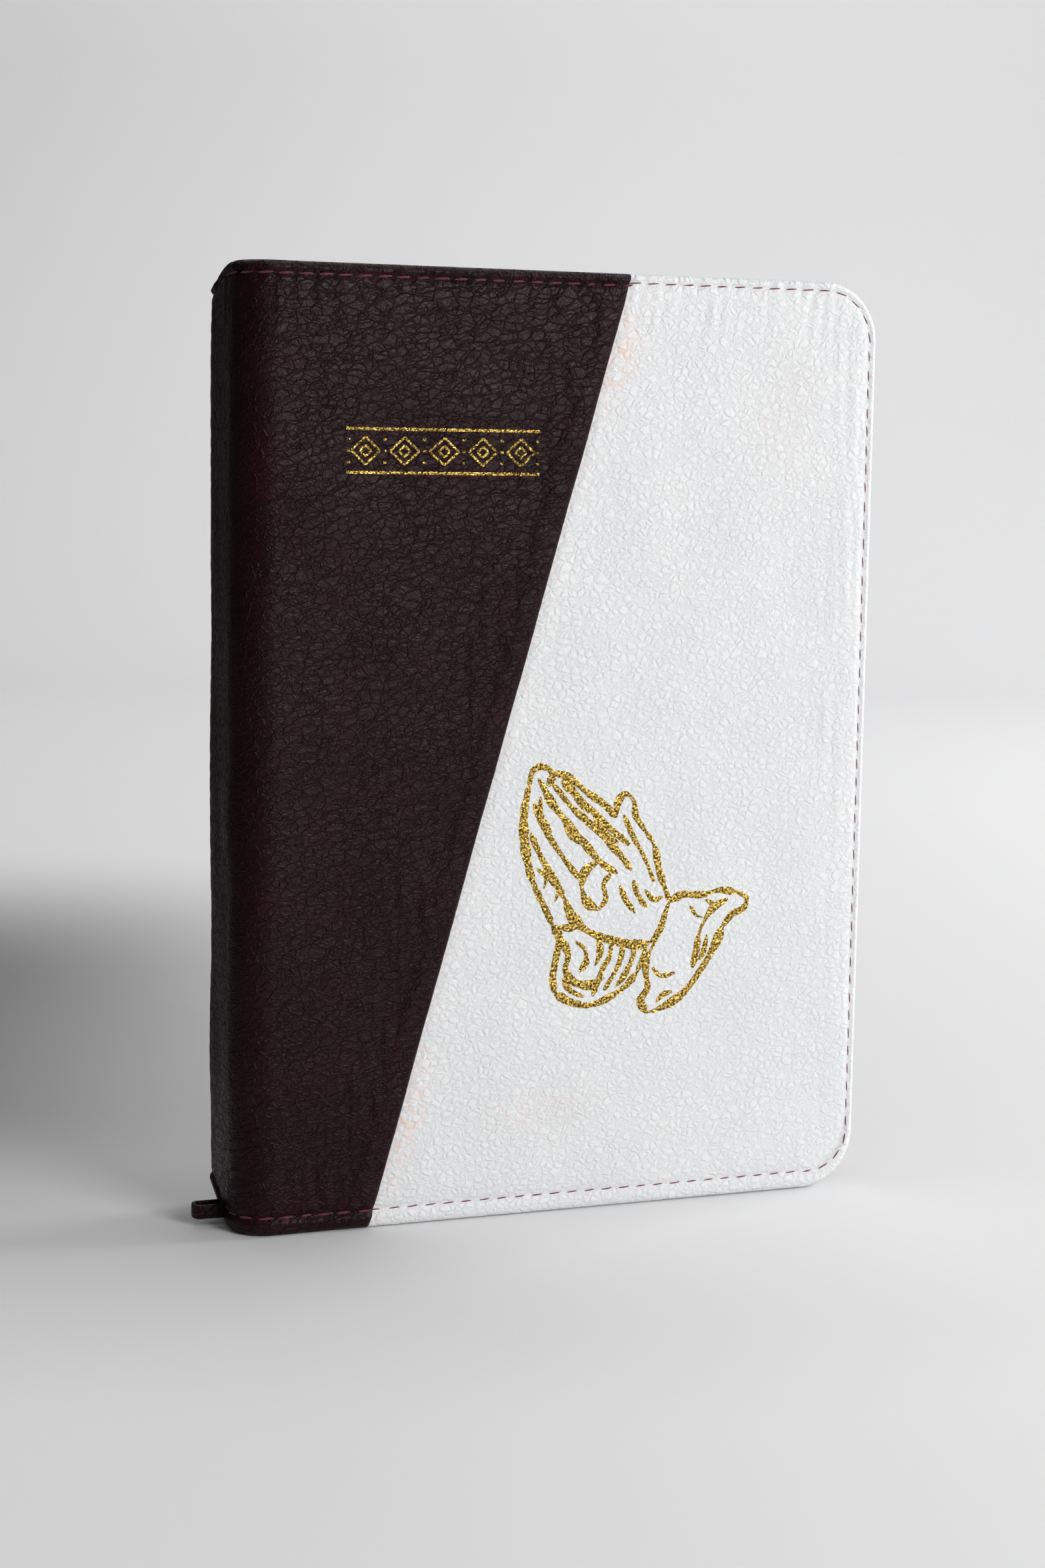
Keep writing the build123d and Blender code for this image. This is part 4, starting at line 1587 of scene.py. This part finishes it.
@dataclass
class EndLoop:
    """The narrow leather band folded into a loop at the zip's tail end."""

    band: float = 0.8
    corner: float = 1.4
    edge: float = 0.26

    def build(self) -> None:
        """Builds the loop as a band that runs round with softened edges."""
        low, high = node_box("zip_end_loop")
        inset = self.band / 2
        left, right = low[0] + inset, high[0] - inset
        near, far = low[1] + inset, high[1] - inset
        corners = ((right, far), (left, far), (left, near), (right, near))
        line, away = [], []
        for quarter, (x, y) in enumerate(corners):
            centre_x = x + (self.corner if x == left else -self.corner)
            centre_y = y + (self.corner if y == near else -self.corner)
            for turn in np.linspace(0, QUARTER, 8):
                angle = quarter * QUARTER + turn
                out = np.array([math.cos(angle), math.sin(angle)])
                line.append([centre_x + self.corner * out[0], centre_y + self.corner * out[1]])
                away.append(out)
        half, tall, soft = self.band / 2, (high[2] - low[2]) / 2, self.edge
        profile = []
        for quarter, (deep, up) in enumerate(((1, 1), (-1, 1), (-1, -1), (1, -1))):
            for turn in np.linspace(0, QUARTER, 4):
                angle = quarter * QUARTER + turn
                out = deep * (half - soft) + soft * math.cos(angle)
                profile.append((out, up * (tall - soft) + soft * math.sin(angle)))
        middle_z = (low[2] + high[2]) / 2
        rings = np.array([
            [[x + out[0] * deep, y + out[1] * deep, middle_z + up] for deep, up in profile]
            for (x, y), out in zip(line, away)
        ])
        rings[..., 2] += 0.08 * waves(rings[..., 0], rings[..., 1], 5.0, 91)
        turns, around = rings.shape[:2]
        number = np.arange(turns * around).reshape(turns, around)
        after, beside = np.roll(number, -1, 0), np.roll(number, -1, 1)
        corner_far = np.roll(after, -1, 1)
        quads = np.stack([number, beside, corner_far, after], -1).reshape(-1, 4).tolist()
        points = rings.reshape(-1, 3)
        loop = put_mesh("folded_end_loop", points, quads, WINE, flat=points, stain=0 * points[:, 0])
        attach(loop, "spine")
        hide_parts("zip_end_loop")


# ---- studio


@dataclass
class Studio:
    """Pale floor and wall, soft lights and the camera."""

    camera_place: tuple[float, float, float] = (-176.7, -468.2, 143.1)
    pitch: float = math.radians(7.19)
    roll: float = math.radians(0.88)
    lens: float = 61.12
    sensor: float = 36.0
    floor_front: float = -3000.0
    wall_distance: float = 1500.0
    wall_curve: float = 420.0
    wall_height: float = 3200.0
    half_width: float = 4000.0
    aim: tuple[float, float, float] = (0.0, 0.0, 90.0)
    wall_aim: tuple[float, float, float] = (560.0, 1500.0, 500.0)
    bright_way: tuple[float, float, float] = (0.90, -0.05, 0.45)
    bright_side: float = 0.56
    dark_side: float = 0.12

    def room(self) -> None:
        """A floor that curves up into a wall behind the book."""
        turn = np.linspace(0, QUARTER, 20)
        curved = self.wall_distance + self.wall_curve * (np.sin(turn) - 1)
        run = np.concatenate([[self.floor_front], curved, [self.wall_distance]])
        rise = np.concatenate([[0.0], self.wall_curve * (1 - np.cos(turn)), [self.wall_height]])
        ahead = np.array(AHEAD)
        across = np.array([ahead[1], -ahead[0]]) * self.half_width
        left = [[*(ahead * r - across), h] for r, h in zip(run, rise)]
        right = [[*(ahead * r + across), h] for r, h in zip(run, rise)]
        count = len(run)
        faces = [(i, i + count, i + count + 1, i + 1) for i in range(count - 1)]
        put_mesh("studio_floor", np.array(left + right), faces, ROOM_PAINT)

    def lamp(self, name: str, place: tuple, aim: tuple, size: tuple, power: float) -> Any:
        """Hangs one soft rectangular light.

        Args:
            name: The light's name.
            place: Where it hangs, in millimetres.
            aim: The point it faces, in millimetres.
            size: Its width and height, in millimetres.
            power: Its power in watts.

        Returns:
            The light's data.
        """
        data = bpy.data.lights.new(name, "AREA")
        data.shape, data.size, data.size_y = "RECTANGLE", size[0] * MM, size[1] * MM
        data.energy = power
        lamp = bpy.data.objects.new(name, data)
        facing = (Vector(aim) - Vector(place)).to_track_quat("-Z", "Y").to_matrix().to_4x4()
        lamp.matrix_world = Matrix.Translation(Vector(place) * MM) @ facing
        bpy.context.scene.collection.objects.link(lamp)
        return data

    def surround(self) -> bpy.types.World:
        """Light from all round, bright on one side and dark on the other."""
        world = bpy.data.worlds.new("surround")
        world.use_nodes = True
        sky = NodeSheet(world.node_tree)
        way = sky.add("ShaderNodeTexCoord").outputs["Generated"]
        lit = {0: way, 1: Vector(self.bright_way).normalized()}
        share = sky.value("ShaderNodeVectorMath", {"operation": "DOT_PRODUCT"}, lit, "Value")
        ground = world.node_tree.nodes["Background"].inputs
        ground["Color"].default_value = (0.97, 0.98, 1.0, 1.0)
        level = self.dark_side + (self.bright_side - self.dark_side) * share.ramp(-0.1, 0.9)
        world.node_tree.links.new(level.socket, ground["Strength"])
        return world

    def camera(self) -> bpy.types.Object:
        """The camera, a little above the book and turned towards its spine."""
        data = bpy.data.cameras.new("main_camera")
        data.sensor_fit, data.sensor_height, data.lens = "VERTICAL", self.sensor, self.lens
        data.clip_start, data.clip_end = 0.01, 50.0
        camera = bpy.data.objects.new("main_camera", data)
        ahead = Vector((
            math.sin(CAMERA_YAW) * math.cos(self.pitch),
            math.cos(CAMERA_YAW) * math.cos(self.pitch),
            -math.sin(self.pitch),
        ))
        level = Vector((math.cos(CAMERA_YAW), -math.sin(CAMERA_YAW), 0.0))
        above = level.cross(ahead)
        right = level * math.cos(self.roll) + above * math.sin(self.roll)
        up = above * math.cos(self.roll) - level * math.sin(self.roll)
        turn = Matrix((right, up, -ahead)).transposed().to_4x4()
        camera.matrix_world = Matrix.Translation(Vector(self.camera_place) * MM) @ turn
        bpy.context.scene.collection.objects.link(camera)
        return camera

    def build(self) -> None:
        """Builds the room, the lights, the surround and the camera."""
        scene = bpy.context.scene
        scene.view_settings.view_transform = "Standard"
        self.room()
        window = self.lamp("window", (370, -960, 470), self.aim, (420, 520), 7.3)
        window.color = (1.0, 0.995, 0.985)
        self.lamp("side", (1200, 60, 560), self.aim, (700, 700), 10.5)
        self.lamp("wall_wash", (250, 620, 1500), self.wall_aim, (1500, 400), 9.4)
        scene.world = self.surround()
        scene.camera = self.camera()


def main() -> None:
    """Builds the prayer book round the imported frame."""
    logging.basicConfig(level=logging.INFO, format="%(message)s")
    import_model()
    book = BookFrame()
    relief = LeatherRelief(book)
    skins = CoverSkins(book, relief)
    skins.build()
    Stitching(book, relief, skins).build()
    FoilBand(relief).build()
    FoilEmblem(relief).build()
    TextBlock().build()
    winding = winding_recipe()
    Binding().build(winding)
    ZipRound(book).build(winding)
    EndLoop().build()
    Studio().build()


if __name__ == "__main__":
    main()
